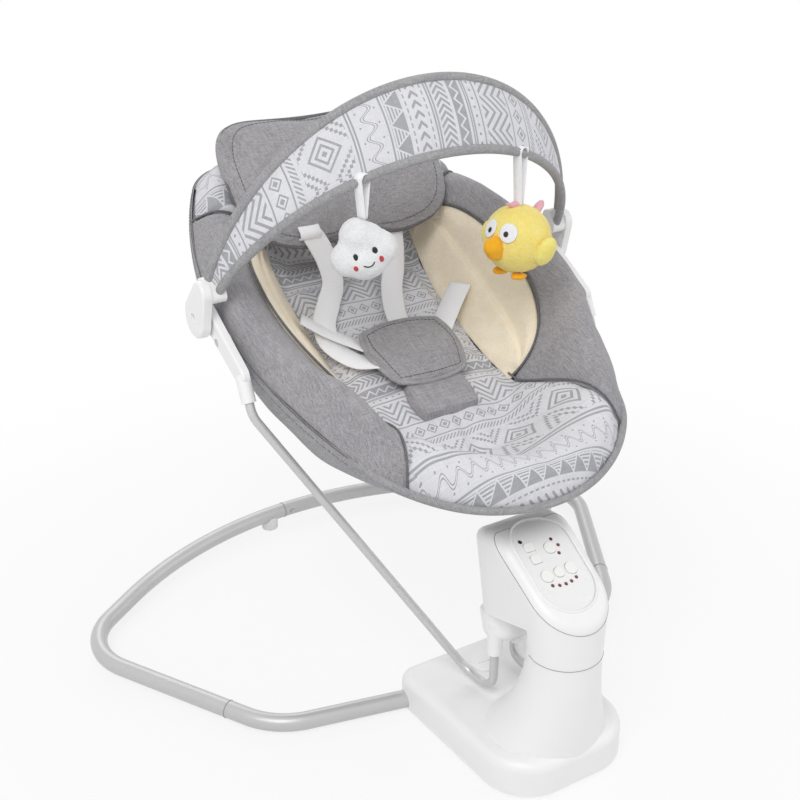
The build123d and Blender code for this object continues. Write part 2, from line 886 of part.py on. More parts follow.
with BuildPart() as swing_hub:
    with BuildSketch(pivot_plane(hub_top - hub_height)):
        SlotOverall(2 * (socket_x + socket_od / 2), hub_depth)
    extrude(amount=hub_height)
    fillet(swing_hub.faces().sort_by(Axis(pivot, pivot_dir))[0].edges(), radius=hub_round)
    with BuildSketch(Plane.XY.offset(socket_end_z)):
        with Locations((-socket_x, socket_y), (socket_x, socket_y)):
            Circle(socket_od / 2)
    extrude(amount=pivot_z - socket_end_z + socket_od / 2)
    with BuildSketch(pivot_plane(hub_top - hub_height - cap_height)):
        Circle(cap_dia / 2)
    extrude(amount=cap_height + hub_round)
    with BuildSketch(Plane.XY.offset(socket_end_z)):
        with Locations((-socket_x, socket_y), (socket_x, socket_y)):
            Circle(rod_dia / 2 + fit_gap)
    extrude(amount=pivot_z - socket_end_z + fit_gap, mode=Mode.SUBTRACT)
    with BuildSketch(pivot_plane(-shaft_below)):
        Circle(shaft_dia / 2 + press_gap)
    extrude(amount=deep, mode=Mode.SUBTRACT)
save(swing_hub, "swing_hub")

rod_knee = Vector(-bracket_x, rod_knee_y, rod_knee_z)
rod_top = Vector(-bracket_x, rod_top_y, rod_top_z)
with BuildLine() as rod_path:
    FilletPolyline(
        (-socket_x, socket_y, pivot_z),
        (-socket_x, socket_y, rod_low_z),
        (-rod_turn_x, rod_turn_y, rod_low_z),
        rod_knee,
        rod_top,
        radius=[rod_bend, rod_bend, rod_knee_radius],
    )
with BuildPart() as left_swing_rod:
    with BuildSketch(Plane(origin=rod_path.line @ 0, z_dir=rod_path.line % 0)):
        Circle(rod_dia / 2)
    sweep(path=rod_path.line)
save(left_swing_rod, "left_swing_rod")

with BuildPart() as right_swing_rod:
    add(mirror(left_swing_rod.part, about=Plane.YZ))
save(right_swing_rod, "right_swing_rod")


# Seat rim: an egg-shaped outline of tangent arcs in the inclined seat plane
rise = math.radians(seat_rise)
seat_origin = Vector(0, seat_origin_y, seat_origin_z)
seat_along = Vector(0, math.cos(rise), math.sin(rise))
seat_up = Vector(0, -math.sin(rise), math.cos(rise))
seat_plane = Plane(origin=seat_origin, x_dir=(1, 0, 0), z_dir=seat_up)


def seat_point(x, v, n):
    return seat_origin + Vector(x, 0, 0) + seat_along * v + seat_up * n


def towards(centre, spot, radius):
    return centre + (spot - centre).normalized() * radius


def rim_path(inset):
    half = seat_half_width - inset
    side_radius = seat_side_radius - inset
    foot_end = seat_foot_v + inset
    head_end = seat_head_v - inset
    head_round = seat_head_round - head_round_share * inset
    side_shift = side_radius - half
    reach = side_radius + foot_end
    foot_v = (reach ** 2 - side_shift ** 2 - seat_side_v ** 2) / (2 * (reach - seat_side_v))
    foot_radius = foot_v - foot_end
    head_v = head_end - head_round
    head_x = math.sqrt((side_radius - head_round) ** 2 - (head_v - seat_side_v) ** 2) - side_shift
    side_centre = Vector(-side_shift, seat_side_v)
    foot_centre = Vector(0, foot_v)
    head_centre = Vector(head_x, head_v)
    foot_tip = Vector(0, foot_end)
    foot_join = towards(side_centre, foot_centre, side_radius)
    head_join = towards(side_centre, head_centre, side_radius)
    head_tip = Vector(head_x, head_end)
    foot_mid = towards(foot_centre, (foot_tip + foot_join) * 0.5, foot_radius)
    head_mid = towards(head_centre, (head_join + head_tip) * 0.5, head_round)
    with BuildLine() as half_rim:
        ThreePointArc(foot_tip, foot_mid, foot_join)
        ThreePointArc(foot_join, (half, seat_side_v), head_join)
        ThreePointArc(head_join, head_mid, head_tip)
        Line(head_tip, (0, head_end))
        mirror(about=Plane.YZ)
    return half_rim.line


def rim(inset):
    with BuildSketch() as outline:
        with BuildLine():
            add(rim_path(inset))
        make_face()
    return outline.sketch_local


# Seat hoop: the bent tube that the fabric sling hangs from
hoop_inset = sling_wall + fit_gap + hoop_dia / 2
hoop_line = seat_plane.offset(-hoop_drop).from_local_coords(rim_path(hoop_inset))


def hoop_tube(radius):
    with BuildPart() as tube:
        with BuildSketch(Plane(origin=hoop_line @ 0, z_dir=hoop_line % 0)):
            Circle(radius)
        sweep(path=hoop_line)
    return tube.part


with BuildPart() as seat_hoop:
    add(hoop_tube(hoop_dia / 2))
save(seat_hoop, "seat_hoop")
hoop_room = hoop_tube(hoop_dia / 2 + fit_gap)

# Side brackets: each joins a swing rod to the hoop and carries a canopy pin
boss_spot = seat_point(0, bracket_boss_v, -hoop_drop)
rod_axis = (rod_knee - rod_top).normalized()
bracket_face = bracket_x + bracket_thick / 2
with BuildPart() as left_bracket:
    with BuildSketch(Plane.YZ.offset(-bracket_face)):
        with Locations((canopy_pivot_y, canopy_pivot_z)):
            Circle(bracket_high_radius)
        with Locations((rod_top_y + bracket_overlap, rod_top_z + bracket_overlap)):
            Circle(bracket_low_radius)
        make_hull()
    extrude(amount=bracket_thick)
    fillet(left_bracket.faces().sort_by(Axis.X)[0].edges(), radius=bracket_round)
    with BuildSketch(Plane(origin=rod_top - rod_axis * rod_cap, z_dir=rod_axis)):
        Circle(rod_dia / 2 + wall)
    extrude(amount=rod_cap + rod_grip)
    with BuildSketch(Plane(origin=rod_top, z_dir=rod_axis)):
        Circle(rod_dia / 2 + fit_gap)
    extrude(amount=2 * rod_grip, mode=Mode.SUBTRACT)
    with BuildSketch(Plane.YZ.offset(-bracket_face + bracket_thick / 2)):
        with Locations((boss_spot.Y, boss_spot.Z)):
            Circle(bracket_boss_dia / 2)
    extrude(amount=bracket_x - seat_half_width + hoop_inset - hoop_dia / 2 - fit_gap)
    with BuildSketch(Plane.YZ.offset(-bracket_face)):
        with Locations((canopy_pivot_y, canopy_pivot_z)):
            Circle(canopy_boss_dia / 2)
    extrude(amount=-canopy_disc_inner + bracket_face)
    with BuildSketch(Plane.YZ.offset(-canopy_disc_inner)):
        with Locations((canopy_pivot_y, canopy_pivot_z)):
            Circle(canopy_pin_dia / 2)
    extrude(amount=-canopy_disc_thick + pin_recess)
    with BuildSketch(Plane.YZ.offset(-bracket_face)):
        with Locations((boss_spot.Y, boss_spot.Z)):
            Circle(screw_head_dia / 2 + fit_gap)
    extrude(amount=screw_head_height, mode=Mode.SUBTRACT)
    with BuildSketch(Plane.YZ.offset(-bracket_face)):
        with Locations((boss_spot.Y, boss_spot.Z)):
            Circle(screw_dia / 2 + fit_gap)
    extrude(amount=2 * bracket_thick + hoop_dia, mode=Mode.SUBTRACT)
save(left_bracket, "left_bracket")

with BuildPart() as right_bracket:
    add(mirror(left_bracket.part, about=Plane.YZ))
save(right_bracket, "right_bracket")

with BuildPart() as bracket_screws:
    with BuildSketch(Plane.YZ.offset(-bracket_face + screw_head_height)):
        with Locations((boss_spot.Y, boss_spot.Z)):
            Circle(screw_dia / 2)
    extrude(amount=bracket_face - screw_head_height - seat_half_width + hoop_inset - hoop_dia / 2 - fit_gap)
    with BuildSketch(Plane.YZ.offset(-bracket_face + screw_sink)):
        with Locations((boss_spot.Y, boss_spot.Z)):
            Circle(screw_head_dia / 2)
    extrude(amount=screw_head_height - screw_sink)
    mirror(about=Plane.YZ)
save(bracket_screws, "bracket_screws")

# Fabric sling: a hem around the hoop and a bag that narrows below it
hem_outside = rim(0)
hem_inside = rim(sling_wall)
bag_outside = rim(sling_inset)
bag_inside = rim(sling_inset + sling_wall)
with BuildPart() as seat_sling:
    with BuildSketch(seat_plane):
        add(hem_outside)
    extrude(amount=-hem_height)
    with BuildSketch(seat_plane.offset(-hem_height)):
        add(hem_outside)
    with BuildSketch(seat_plane.offset(-sling_depth)):
        add(bag_outside)
    loft(ruled=True)
    with BuildSketch(seat_plane):
        add(hem_inside)
    extrude(amount=-hem_height, mode=Mode.SUBTRACT)
    with BuildSketch(seat_plane.offset(-hem_height)):
        add(hem_inside)
    with BuildSketch(seat_plane.offset(-sling_depth + sling_wall)):
        add(bag_inside)
    loft(ruled=True, mode=Mode.SUBTRACT)
    with BuildSketch(Plane.YZ.offset(-bracket_face)):
        with Locations((boss_spot.Y, boss_spot.Z)):
            Circle(bracket_boss_dia / 2 + fit_gap)
    extrude(amount=2 * bracket_face, mode=Mode.SUBTRACT)
save(seat_sling, "seat_sling")

# Padding inside the sling: a printed centre pad between two bolsters with soft wing linings
cushion_edge = sling_wall + 3 * fit_gap
cushion_top = rim(cushion_edge)
cushion_base = rim(sling_inset + cushion_edge)
cavity_top = rim(cavity_inset)
cavity_base = rim(cavity_inset + cavity_slope_inset)
with BuildPart() as cushion:
    with BuildSketch(seat_plane.offset(-hem_height)):
        add(cushion_top)
    with BuildSketch(seat_plane.offset(-sling_depth + cushion_edge)):
        add(cushion_base)
    loft(ruled=True)
    with BuildSketch(seat_plane.offset(-hem_height)):
        add(cushion_top)
    extrude(amount=hem_height + crown_height)
    with BuildSketch(seat_plane.offset(crown_height)):
        add(cavity_top)
    with BuildSketch(seat_plane.offset(cavity_floor)):
        add(cavity_base)
    loft(ruled=True, mode=Mode.SUBTRACT)
    fillet(cushion.faces().sort_by(Axis(seat_origin, seat_up))[-1].edges(), radius=crown_height - 1)
    add(hoop_room, mode=Mode.SUBTRACT)


def centre_region(margin):
    with BuildSketch() as region:
        with BuildLine():
            Polyline(
                (0, 2 * seat_head_v),
                (pad_head_half, 2 * seat_head_v),
                (pad_half, pad_waist_v),
                (pad_half, pad_flare_v),
                (pad_foot_half, pad_foot_v),
                (2 * seat_half_width, pad_foot_v),
                (2 * seat_half_width, 2 * seat_foot_v),
                (0, 2 * seat_foot_v),
            )
            mirror(about=Plane.YZ)
        make_face()
        offset(amount=margin, mode=Mode.REPLACE)
    return region.sketch_local


def wing_region(margin):
    with BuildSketch() as region:
        with BuildLine():
            Line((0, wing_low_v), (0, wing_high_v))
            Line((0, wing_high_v), (pad_half, wing_high_v))
            ThreePointArc((pad_half, wing_high_v), (wing_half, wing_mid_v), (pad_half, wing_low_v))
            Line((pad_half, wing_low_v), (0, wing_low_v))
        make_face()
        offset(amount=margin, mode=Mode.REPLACE)
    return region.sketch_local


centre_inner = centre_region(-fit_gap / 2)
centre_outer = centre_region(fit_gap / 2)
wing_inner = wing_region(-fit_gap / 2)
wing_outer = wing_region(fit_gap / 2)
prism_low = seat_plane.offset(-2 * sling_depth)

with BuildPart() as seat_pad:
    add(cushion.part)
    with BuildSketch(prism_low):
        add(centre_inner)
    extrude(amount=4 * sling_depth, mode=Mode.INTERSECT)
save(seat_pad, "seat_pad")

with BuildPart() as right_side_padding:
    add(cushion.part)
    with BuildSketch(prism_low):
        add(centre_outer)
    extrude(amount=4 * sling_depth, mode=Mode.SUBTRACT)
    split(bisect_by=Plane.YZ, keep=Keep.TOP)

with BuildPart() as right_bolster:
    add(right_side_padding.part)
    with BuildSketch(prism_low):
        add(wing_outer)
    extrude(amount=4 * sling_depth, mode=Mode.SUBTRACT)
save(right_bolster, "right_bolster")

with BuildPart() as right_wing_lining:
    add(right_side_padding.part)
    with BuildSketch(prism_low):
        add(wing_inner)
    extrude(amount=4 * sling_depth, mode=Mode.INTERSECT)
save(right_wing_lining, "right_wing_lining")

with BuildPart() as left_bolster:
    add(mirror(right_bolster.part, about=Plane.YZ))
save(left_bolster, "left_bolster")

with BuildPart() as left_wing_lining:
    add(mirror(right_wing_lining.part, about=Plane.YZ))
save(left_wing_lining, "left_wing_lining")


# Sewn cushions: lens-shaped sections that close to a seam on both edges
def lens(width, thick):
    with BuildSketch() as face:
        with BuildLine():
            ThreePointArc((-width / 2, 0), (0, thick / 2), (width / 2, 0))
            ThreePointArc((width / 2, 0), (0, -thick / 2), (-width / 2, 0))
        make_face()
    return face.sketch_local


# Head pillow: two swelling lobes with a nipped waist
pillow_lean = math.radians(pillow_tilt)
pillow_dir = seat_along * math.cos(pillow_lean) + seat_up * math.sin(pillow_lean)
pillow_shares = [2 * step / (pillow_stations - 1) - 1 for step in range(pillow_stations)]
pillow_faces = []
for share in pillow_shares:
    tall = 1 - pillow_end_drop * share ** 4
    full = 1 - pillow_end_thin * share ** 4 - pillow_nip * (1 - share ** 2) ** 3
    pillow_faces.append(lens(pillow_height * tall, pillow_thick * full))
with BuildPart() as head_pillow:
    for share, face in zip(pillow_shares, pillow_faces):
        spot = seat_point(share * pillow_half, pillow_v, pillow_n + pillow_end_lift * share ** 2)
        with BuildSketch(Plane(origin=spot, x_dir=pillow_dir, z_dir=(1, 0, 0))):
            add(face)
    loft()
save(head_pillow, "head_pillow")

# Harness: buckle, padded crotch cover and strap, shoulder and waist webbing
pad_lift = cavity_floor + fit_gap
with BuildPart() as harness_buckle:
    with BuildSketch(seat_plane.offset(pad_lift)):
        with Locations((0, buckle_v)):
            RectangleRounded(buckle_width, buckle_length, buckle_round)
    extrude(amount=buckle_height)
    fillet(harness_buckle.faces().sort_by(Axis(seat_origin, seat_up))[-1].edges(), radius=buckle_edge)
save(harness_buckle, "harness_buckle")

crotch_n = pad_lift + buckle_height + fit_gap + crotch_thick / 2
crotch_shares = [2 * step / (crotch_stations - 1) - 1 for step in range(crotch_stations)]
crotch_faces = []
for share in crotch_shares:
    wide = 1 - crotch_end_drop * share ** 2
    full = 1 - crotch_end_thin * share ** 4
    crotch_faces.append(lens(crotch_width * wide, crotch_thick * full))
with BuildPart() as crotch_pad:
    for share, face in zip(crotch_shares, crotch_faces):
        spot = seat_point(0, crotch_v + share * crotch_length / 2, crotch_n)
        with BuildSketch(Plane(origin=spot, x_dir=(1, 0, 0), z_dir=seat_along)):
            add(face)
    loft()
save(crotch_pad, "crotch_pad")

with BuildPart() as crotch_strap:
    with BuildSketch(seat_plane.offset(pad_lift)):
        with Locations((0, crotch_strap_v)):
            RectangleRounded(crotch_strap_width, crotch_strap_length, crotch_strap_length / 4)
    extrude(amount=crotch_strap_height)
    fillet(crotch_strap.faces().sort_by(Axis(seat_origin, seat_up))[-1].edges(), radius=crotch_strap_height / 2)
save(crotch_strap, "crotch_strap")

strap_n = pad_lift + strap_thick / 2
back_slope = (crown_height - cavity_floor) / cavity_slope_inset
back_foot_v = seat_head_v - cavity_inset - cavity_slope_inset
strap_climb_n = strap_n + strap_climb * back_slope
with BuildPart() as shoulder_straps:
    side = Plane(
        origin=seat_point(strap_x - strap_width / 2, 0, 0), x_dir=seat_along, z_dir=(1, 0, 0)
    )
    with BuildSketch(side):
        with BuildLine() as strap_line:
            FilletPolyline(
                (waist_v + strap_width / 2 + fit_gap, strap_n),
                (back_foot_v - strap_thick, strap_n),
                (back_foot_v - strap_thick + strap_climb, strap_climb_n),
                radius=strap_bend,
            )
        trace(line_width=strap_thick)
    extrude(amount=strap_width)
    mirror(about=Plane.YZ)
save(shoulder_straps, "shoulder_straps")

wall_foot_x = seat_half_width - cavity_inset - cavity_slope_inset
with BuildPart() as waist_straps:
    cross_side = Plane(
        origin=seat_point(0, waist_v - strap_width / 2, 0), x_dir=(1, 0, 0), z_dir=seat_along
    )
    with BuildSketch(cross_side):
        with BuildLine() as waist_line:
            FilletPolyline(
                (buckle_width / 2 + fit_gap, -strap_n),
                (wall_foot_x - strap_thick, -strap_n),
                (wall_foot_x - strap_thick + waist_climb, -strap_n - waist_climb * back_slope),
                radius=strap_bend,
            )
        trace(line_width=strap_thick)
    extrude(amount=strap_width)
    mirror(about=Plane.YZ)
save(waist_straps, "waist_straps")


# Canopy: two wire bows between side discs, with a band of cloth stretched from bow to bow
canopy_pivot = Vector(0, canopy_pivot_y, canopy_pivot_z)


def bow_dir(angle):
    turn = math.radians(angle)
    return Vector(0, math.cos(turn), math.sin(turn))


def bow_point(angle, reach, half, sweep_angle):
    turn = math.radians(sweep_angle)
    return canopy_pivot + Vector(half * math.cos(turn), 0, 0) + bow_dir(angle) * (reach * math.sin(turn))


def front_point(sweep_angle):
    return bow_point(front_bow_angle, front_bow_reach, front_bow_half, sweep_angle)


def back_point(sweep_angle):
    return bow_point(back_bow_angle, back_bow_reach, back_bow_half, sweep_angle)


def bow_tube(angle, reach, half, radius):
    plane = Plane(origin=canopy_pivot, x_dir=(1, 0, 0), z_dir=Vector(1, 0, 0).cross(bow_dir(angle)))
    with BuildLine(plane) as path:
        EllipticalCenterArc((0, 0), half, reach, bow_start, arc_size=180 - 2 * bow_start)
    with BuildPart() as bow:
        with BuildSketch(Plane(origin=path.line @ 0, z_dir=path.line % 0)):
            Circle(radius)
        sweep(path=path.line)
    return bow.part


front_bow = bow_tube(front_bow_angle, front_bow_reach, front_bow_half, bow_dia / 2)
back_bow = bow_tube(back_bow_angle, back_bow_reach, back_bow_half, bow_dia / 2)
front_bow_room = bow_tube(front_bow_angle, front_bow_reach, front_bow_half, bow_dia / 2 + fit_gap)
back_bow_room = bow_tube(back_bow_angle, back_bow_reach, back_bow_half, bow_dia / 2 + fit_gap)

with BuildPart() as canopy_bows:
    add(front_bow)
    add(back_bow)
save(canopy_bows, "canopy_bows")

arm_end = canopy_pivot + bow_dir((front_bow_angle + back_bow_angle) / 2) * canopy_arm_reach
holder_front = front_point(holder_angle)
holder_back = back_point(holder_angle)
with BuildPart() as left_canopy_disc:
    with BuildSketch(Plane.YZ.offset(-canopy_disc_inner - canopy_disc_thick)):
        with Locations((canopy_pivot_y, canopy_pivot_z)):
            Circle(canopy_disc_dia / 2)
        with Locations((arm_end.Y, arm_end.Z)):
            Circle(canopy_arm_radius)
        make_hull()
    extrude(amount=canopy_disc_thick - fit_gap)
    fillet(left_canopy_disc.faces().sort_by(Axis.X)[0].edges(), radius=bracket_round)
    with BuildSketch(Plane.YZ.offset(-canopy_disc_inner - canopy_disc_thick / 2)):
        with Locations((holder_front.Y, holder_front.Z), (holder_back.Y, holder_back.Z)):
            Circle(holder_radius)
        make_hull()
    extrude(amount=holder_depth)
    with BuildSketch(Plane.YZ.offset(-canopy_disc_inner - canopy_disc_thick)):
        with Locations((canopy_pivot_y, canopy_pivot_z)):
            Circle(canopy_pin_dia / 2 + fit_gap)
    extrude(amount=2 * canopy_disc_thick, mode=Mode.SUBTRACT)
    add(front_bow_room, mode=Mode.SUBTRACT)
    add(back_bow_room, mode=Mode.SUBTRACT)
save(left_canopy_disc, "left_canopy_disc")

with BuildPart() as right_canopy_disc:
    add(mirror(left_canopy_disc.part, about=Plane.YZ))
save(right_canopy_disc, "right_canopy_disc")

# Toy spots on the front bow, each with the axis of its ribbon loop along the bow
toy_sweep = math.degrees(math.acos(toy_x / front_bow_half))


def loop_plane(sweep_angle):
    spot = front_point(sweep_angle)
    return Plane(origin=spot, z_dir=front_point(sweep_angle + 1) - front_point(sweep_angle - 1))


cloud_loop = loop_plane(180 - toy_sweep)
chick_loop = loop_plane(toy_sweep)
loop_radius = bow_dia / 2 + fit_gap + ribbon_thick

with BuildPart() as canopy_band:
    for step in range(band_stations):
        station = band_start + (180 - 2 * band_start) * step / (band_stations - 1)
        near = front_point(station)
        far = back_point(station)
        middle = (near + far) * 0.5
        across = (far - near).normalized()
        ahead = (front_point(station + 1) + back_point(station + 1)) * 0.5 - middle
        ahead = ahead - across * ahead.dot(across)
        with BuildSketch(Plane(origin=middle, x_dir=across, z_dir=ahead)):
            Rectangle((far - near).length - bow_dia - 2 * band_gap, band_thick)
    loft()
    for plane in (cloud_loop, chick_loop):
        with BuildSketch(plane.offset(-ribbon_width)):
            Circle(loop_radius + fit_gap)
        extrude(amount=2 * ribbon_width, mode=Mode.SUBTRACT)
save(canopy_band, "canopy_band")


# Toys hang from the front bow on ribbon loops
def ribbon(plane, length):
    across = math.degrees(math.atan2(plane.z_dir.Y, plane.z_dir.X))
    with BuildPart() as strip:
        with BuildSketch(plane.offset(-ribbon_width / 2)):
            Circle(loop_radius)
        extrude(amount=ribbon_width)
        with BuildSketch(Plane.XY.offset(plane.origin.Z - length)):
            with Locations((plane.origin.X, plane.origin.Y)):
                Rectangle(ribbon_width, ribbon_thick, rotation=across)
        extrude(amount=length)
        add(front_bow_room, mode=Mode.SUBTRACT)
    return strip


cloud_ribbon = ribbon(cloud_loop, cloud_ribbon_length)
save(cloud_ribbon, "cloud_ribbon")
chick_ribbon = ribbon(chick_loop, chick_ribbon_length)
save(chick_ribbon, "chick_ribbon")

# Cloud: a plump flat toy with rounded lobes
cloud_turn = math.radians(cloud_facing)
cloud_plane = Plane(
    origin=cloud_loop.origin - Vector(0, 0, cloud_ribbon_length + fit_gap),
    x_dir=(math.cos(cloud_turn), -math.sin(cloud_turn), 0),
    z_dir=(-math.sin(cloud_turn), -math.cos(cloud_turn), 0),
)
small_lobe = cloud_lobe * cloud_small_share
with BuildPart() as cloud_body:
    with BuildSketch(cloud_plane.offset(-cloud_thick / 2)) as cloud_outline:
        with Locations((0, -small_lobe)):
            Circle(small_lobe)
        with Locations((-cloud_side, -cloud_low), (cloud_side, -cloud_low)):
            Circle(small_lobe)
        with Locations((0, -cloud_low - cloud_lobe / 4)):
            Circle(cloud_lobe)
        fillet(cloud_outline.vertices(), radius=cloud_crease)
    extrude(amount=cloud_thick)
    fillet(cloud_body.edges().filter_by(cloud_plane), radius=cloud_round)
save(cloud_body, "cloud_body")

# Chick: an egg-shaped body with beak, wings and feet
chick_centre = chick_loop.origin - Vector(0, 0, chick_ribbon_length + fit_gap + chick_radius)
chick_turn = math.radians(chick_facing)
chick_front = Vector(-math.cos(chick_turn), -math.sin(chick_turn), 0)
chick_side = Vector(0, 0, 1).cross(chick_front)
with BuildPart() as chick_body:
    with Locations(chick_centre):
        Sphere(chick_radius)
chick_round = chick_body.part
save(chick_body, "chick_body")

with BuildPart() as chick_beak:
    with BuildSketch(Plane(origin=chick_centre + chick_front * (chick_radius - beak_seat), z_dir=chick_front)):
        Circle(beak_dia / 2)
    extrude(amount=beak_length + beak_seat, taper=beak_taper)
    fillet(chick_beak.faces().sort_by(Axis(chick_centre, chick_front))[-1].edges(), radius=beak_round)
    add(chick_round, mode=Mode.SUBTRACT)
save(chick_beak, "chick_beak")

wing_root = lens(chick_wing_width / 2, chick_wing_thick / 3)
wing_mid = lens(chick_wing_width, chick_wing_thick)
wing_tip = lens(chick_wing_width / 3, chick_wing_thick / 3)
with BuildPart() as chick_wings:
    for hand in (-1, 1):
        root = Plane(
            origin=chick_centre + chick_side * (hand * (chick_radius - wing_seat)),
            x_dir=chick_front,
            z_dir=chick_side * hand,
        )
        with BuildSketch(root):
            add(wing_root)
        with BuildSketch(root.offset(chick_wing_length / 2)):
            add(wing_mid)
        with BuildSketch(root.offset(chick_wing_length)):
            add(wing_tip)
        loft()
    add(chick_round, mode=Mode.SUBTRACT)
save(chick_wings, "chick_wings")

with BuildPart() as chick_feet:
    for hand in (-1, 1):
        spot = chick_centre + chick_side * (hand * foot_spread) + chick_front * foot_ahead
        with BuildSketch(Plane.XY.offset(chick_centre.Z - chick_radius - foot_height / 2)):
            with Locations((spot.X, spot.Y)):
                Circle(chick_foot_dia / 2)
        extrude(amount=2 * foot_height)
    fillet(chick_feet.edges().group_by(Axis.Z)[0], radius=foot_height / 2)
    add(chick_round, mode=Mode.SUBTRACT)
save(chick_feet, "chick_feet")
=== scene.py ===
import math

import bmesh
import bpy
import numpy as np
from mathutils import Matrix, Vector, noise


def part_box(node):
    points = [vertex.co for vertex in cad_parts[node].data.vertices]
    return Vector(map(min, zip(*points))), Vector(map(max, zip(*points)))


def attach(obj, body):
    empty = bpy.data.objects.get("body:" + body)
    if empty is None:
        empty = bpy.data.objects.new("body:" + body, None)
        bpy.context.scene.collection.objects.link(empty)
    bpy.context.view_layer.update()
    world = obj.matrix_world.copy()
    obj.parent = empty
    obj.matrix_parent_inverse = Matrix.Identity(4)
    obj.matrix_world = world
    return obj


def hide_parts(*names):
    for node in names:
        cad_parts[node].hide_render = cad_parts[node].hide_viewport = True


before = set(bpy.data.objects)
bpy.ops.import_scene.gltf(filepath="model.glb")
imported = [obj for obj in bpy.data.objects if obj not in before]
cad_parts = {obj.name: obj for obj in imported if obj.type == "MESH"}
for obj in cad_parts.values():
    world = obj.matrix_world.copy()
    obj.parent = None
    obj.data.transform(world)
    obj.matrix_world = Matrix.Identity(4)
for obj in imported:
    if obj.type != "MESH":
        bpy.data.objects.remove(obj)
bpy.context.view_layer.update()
scene = bpy.context.scene

# Studio: the swing stands on a seamless pale floor under a large soft lamp, a weak fill and a lamp
# behind it. The camera looks at its front left side from a little above the canopy.
scene.view_settings.view_transform = "Standard"
camera_turn = math.radians(-31.8)
camera_rise = math.radians(25.6)
camera_place = (-0.6668, -1.0440, 0.8886)
camera_lens = 58.13
sky_strength = 0.6
paper_fade_from = 0.35
paper_fade_to = 0.9
paper_least_white = 0.8
lamp_aim = Vector((0, 0, 0.3))


def tint(colour):
    """A colour as it reads on a screen, 0 to 255, in linear light."""
    return tuple(((c / 255 + 0.055) / 1.055) ** 2.4 for c in colour) + (1.0,)


def feed(tree, node, inputs):
    """Sets or links a node's inputs."""
    for key, value in dict(inputs).items():
        if isinstance(value, bpy.types.NodeSocket):
            tree.links.new(value, node.inputs[key])
        else:
            node.inputs[key].default_value = value


def wire(tree, kind, inputs=(), output=0, **settings):
    """Adds one node, sets or links its inputs, and gives the output asked for."""
    node = tree.nodes.new(kind)
    for name, value in settings.items():
        setattr(node, name, value)
    feed(tree, node, inputs)
    return node.outputs[output]


def maths(tree, operation, *values):
    """A Math node on numbers or sockets."""
    return wire(tree, "ShaderNodeMath", enumerate(values), operation=operation)


def new_material(name):
    """A material with its tree and its Principled shader."""
    material = bpy.data.materials.new(name)
    material.use_nodes = True
    return material, material.node_tree, material.node_tree.nodes["Principled BSDF"]


def set_sockets(shader, **values):
    """Sets plain sockets of a shader; an underscore stands for a space in the socket's name."""
    for key, value in values.items():
        shader.inputs[key.replace("_", " ")].default_value = value


def look_against(thing, way):
    """Turns a camera or a lamp so that it looks against a direction."""
    thing.rotation_mode = "QUATERNION"
    thing.rotation_quaternion = Vector(way).to_track_quat("Z", "Y")


camera = bpy.data.objects.new("camera", bpy.data.cameras.new("camera"))
scene.collection.objects.link(camera)
camera.data.sensor_width = 36.0
camera.data.lens = camera_lens
camera.location = camera_place
camera_way = (
    math.sin(camera_turn) * math.cos(camera_rise),
    -math.cos(camera_turn) * math.cos(camera_rise),
    math.sin(camera_rise),
)
look_against(camera, camera_way)
scene.camera = camera

for lamp_name, place, size, power in (
    ("key_lamp", (-1.5, -1.3, 2.5), 1.6, 34.0),
    ("fill_lamp", (2.0, -1.0, 1.6), 2.0, 9.0),
    ("back_lamp", (0.6, 2.2, 2.2), 1.6, 12.0),
):
    lamp = bpy.data.objects.new(lamp_name, bpy.data.lights.new(lamp_name, "AREA"))
    lamp.data.size = size
    lamp.data.energy = power
    lamp.location = place
    look_against(lamp, Vector(place) - lamp_aim)
    scene.collection.objects.link(lamp)


def seen_directly(tree):
    """1 for rays that show the background itself: camera, mirror and glass rays."""
    path = tree.nodes.new("ShaderNodeLightPath").outputs
    either = maths(tree, "MAXIMUM", path["Is Camera Ray"], path["Is Glossy Ray"])
    return maths(tree, "MAXIMUM", either, path["Is Transmission Ray"])


scene.world = bpy.data.worlds.new("studio")
scene.world.use_nodes = True
sky = scene.world.node_tree
sky_light = wire(sky, "ShaderNodeBackground", {"Color": (1, 1, 1, 1), "Strength": sky_strength})
sky_white = wire(sky, "ShaderNodeBackground", {"Color": (1, 1, 1, 1), "Strength": 1.0})
sky_mix = wire(sky, "ShaderNodeMixShader", {0: seen_directly(sky), 1: sky_light, 2: sky_white})
sky.links.new(sky_mix, sky.nodes["World Output"].inputs["Surface"])

floor_size = 14.0
floor_level = -0.0006
floor_corners = [(x * floor_size, y * floor_size) for x, y in ((-1, -1), (1, -1), (1, 1), (-1, 1))]
floor_mesh = bpy.data.meshes.new("floor")
floor_mesh.from_pydata([(x, y, floor_level) for x, y in floor_corners], [], [(0, 1, 2, 3)])
floor = bpy.data.objects.new("floor", floor_mesh)
scene.collection.objects.link(floor)
floor_paper, paper, paper_shader = new_material("floor_paper")
set_sockets(paper_shader, Base_Color=tint((238, 238, 238)), Roughness=0.9)
paper_place = wire(paper, "ShaderNodeTexCoord", output="Object")
paper_far = wire(paper, "ShaderNodeVectorMath", {0: paper_place}, "Value", operation="LENGTH")
paper_range = {"From Min": paper_fade_from, "From Max": paper_fade_to, "To Min": paper_least_white}
paper_fade = wire(
    paper, "ShaderNodeMapRange", {"Value": paper_far, **paper_range}, interpolation_type="SMOOTHSTEP"
)
paper_share = maths(paper, "MULTIPLY", seen_directly(paper), paper_fade)
paper_white = wire(paper, "ShaderNodeEmission", {"Color": (1, 1, 1, 1), "Strength": 1.0})
paper_mix = wire(
    paper, "ShaderNodeMixShader", {0: paper_share, 1: paper_shader.outputs[0], 2: paper_white}
)
paper.links.new(paper_mix, paper.nodes["Material Output"].inputs["Surface"])
floor_mesh.materials.append(floor_paper)

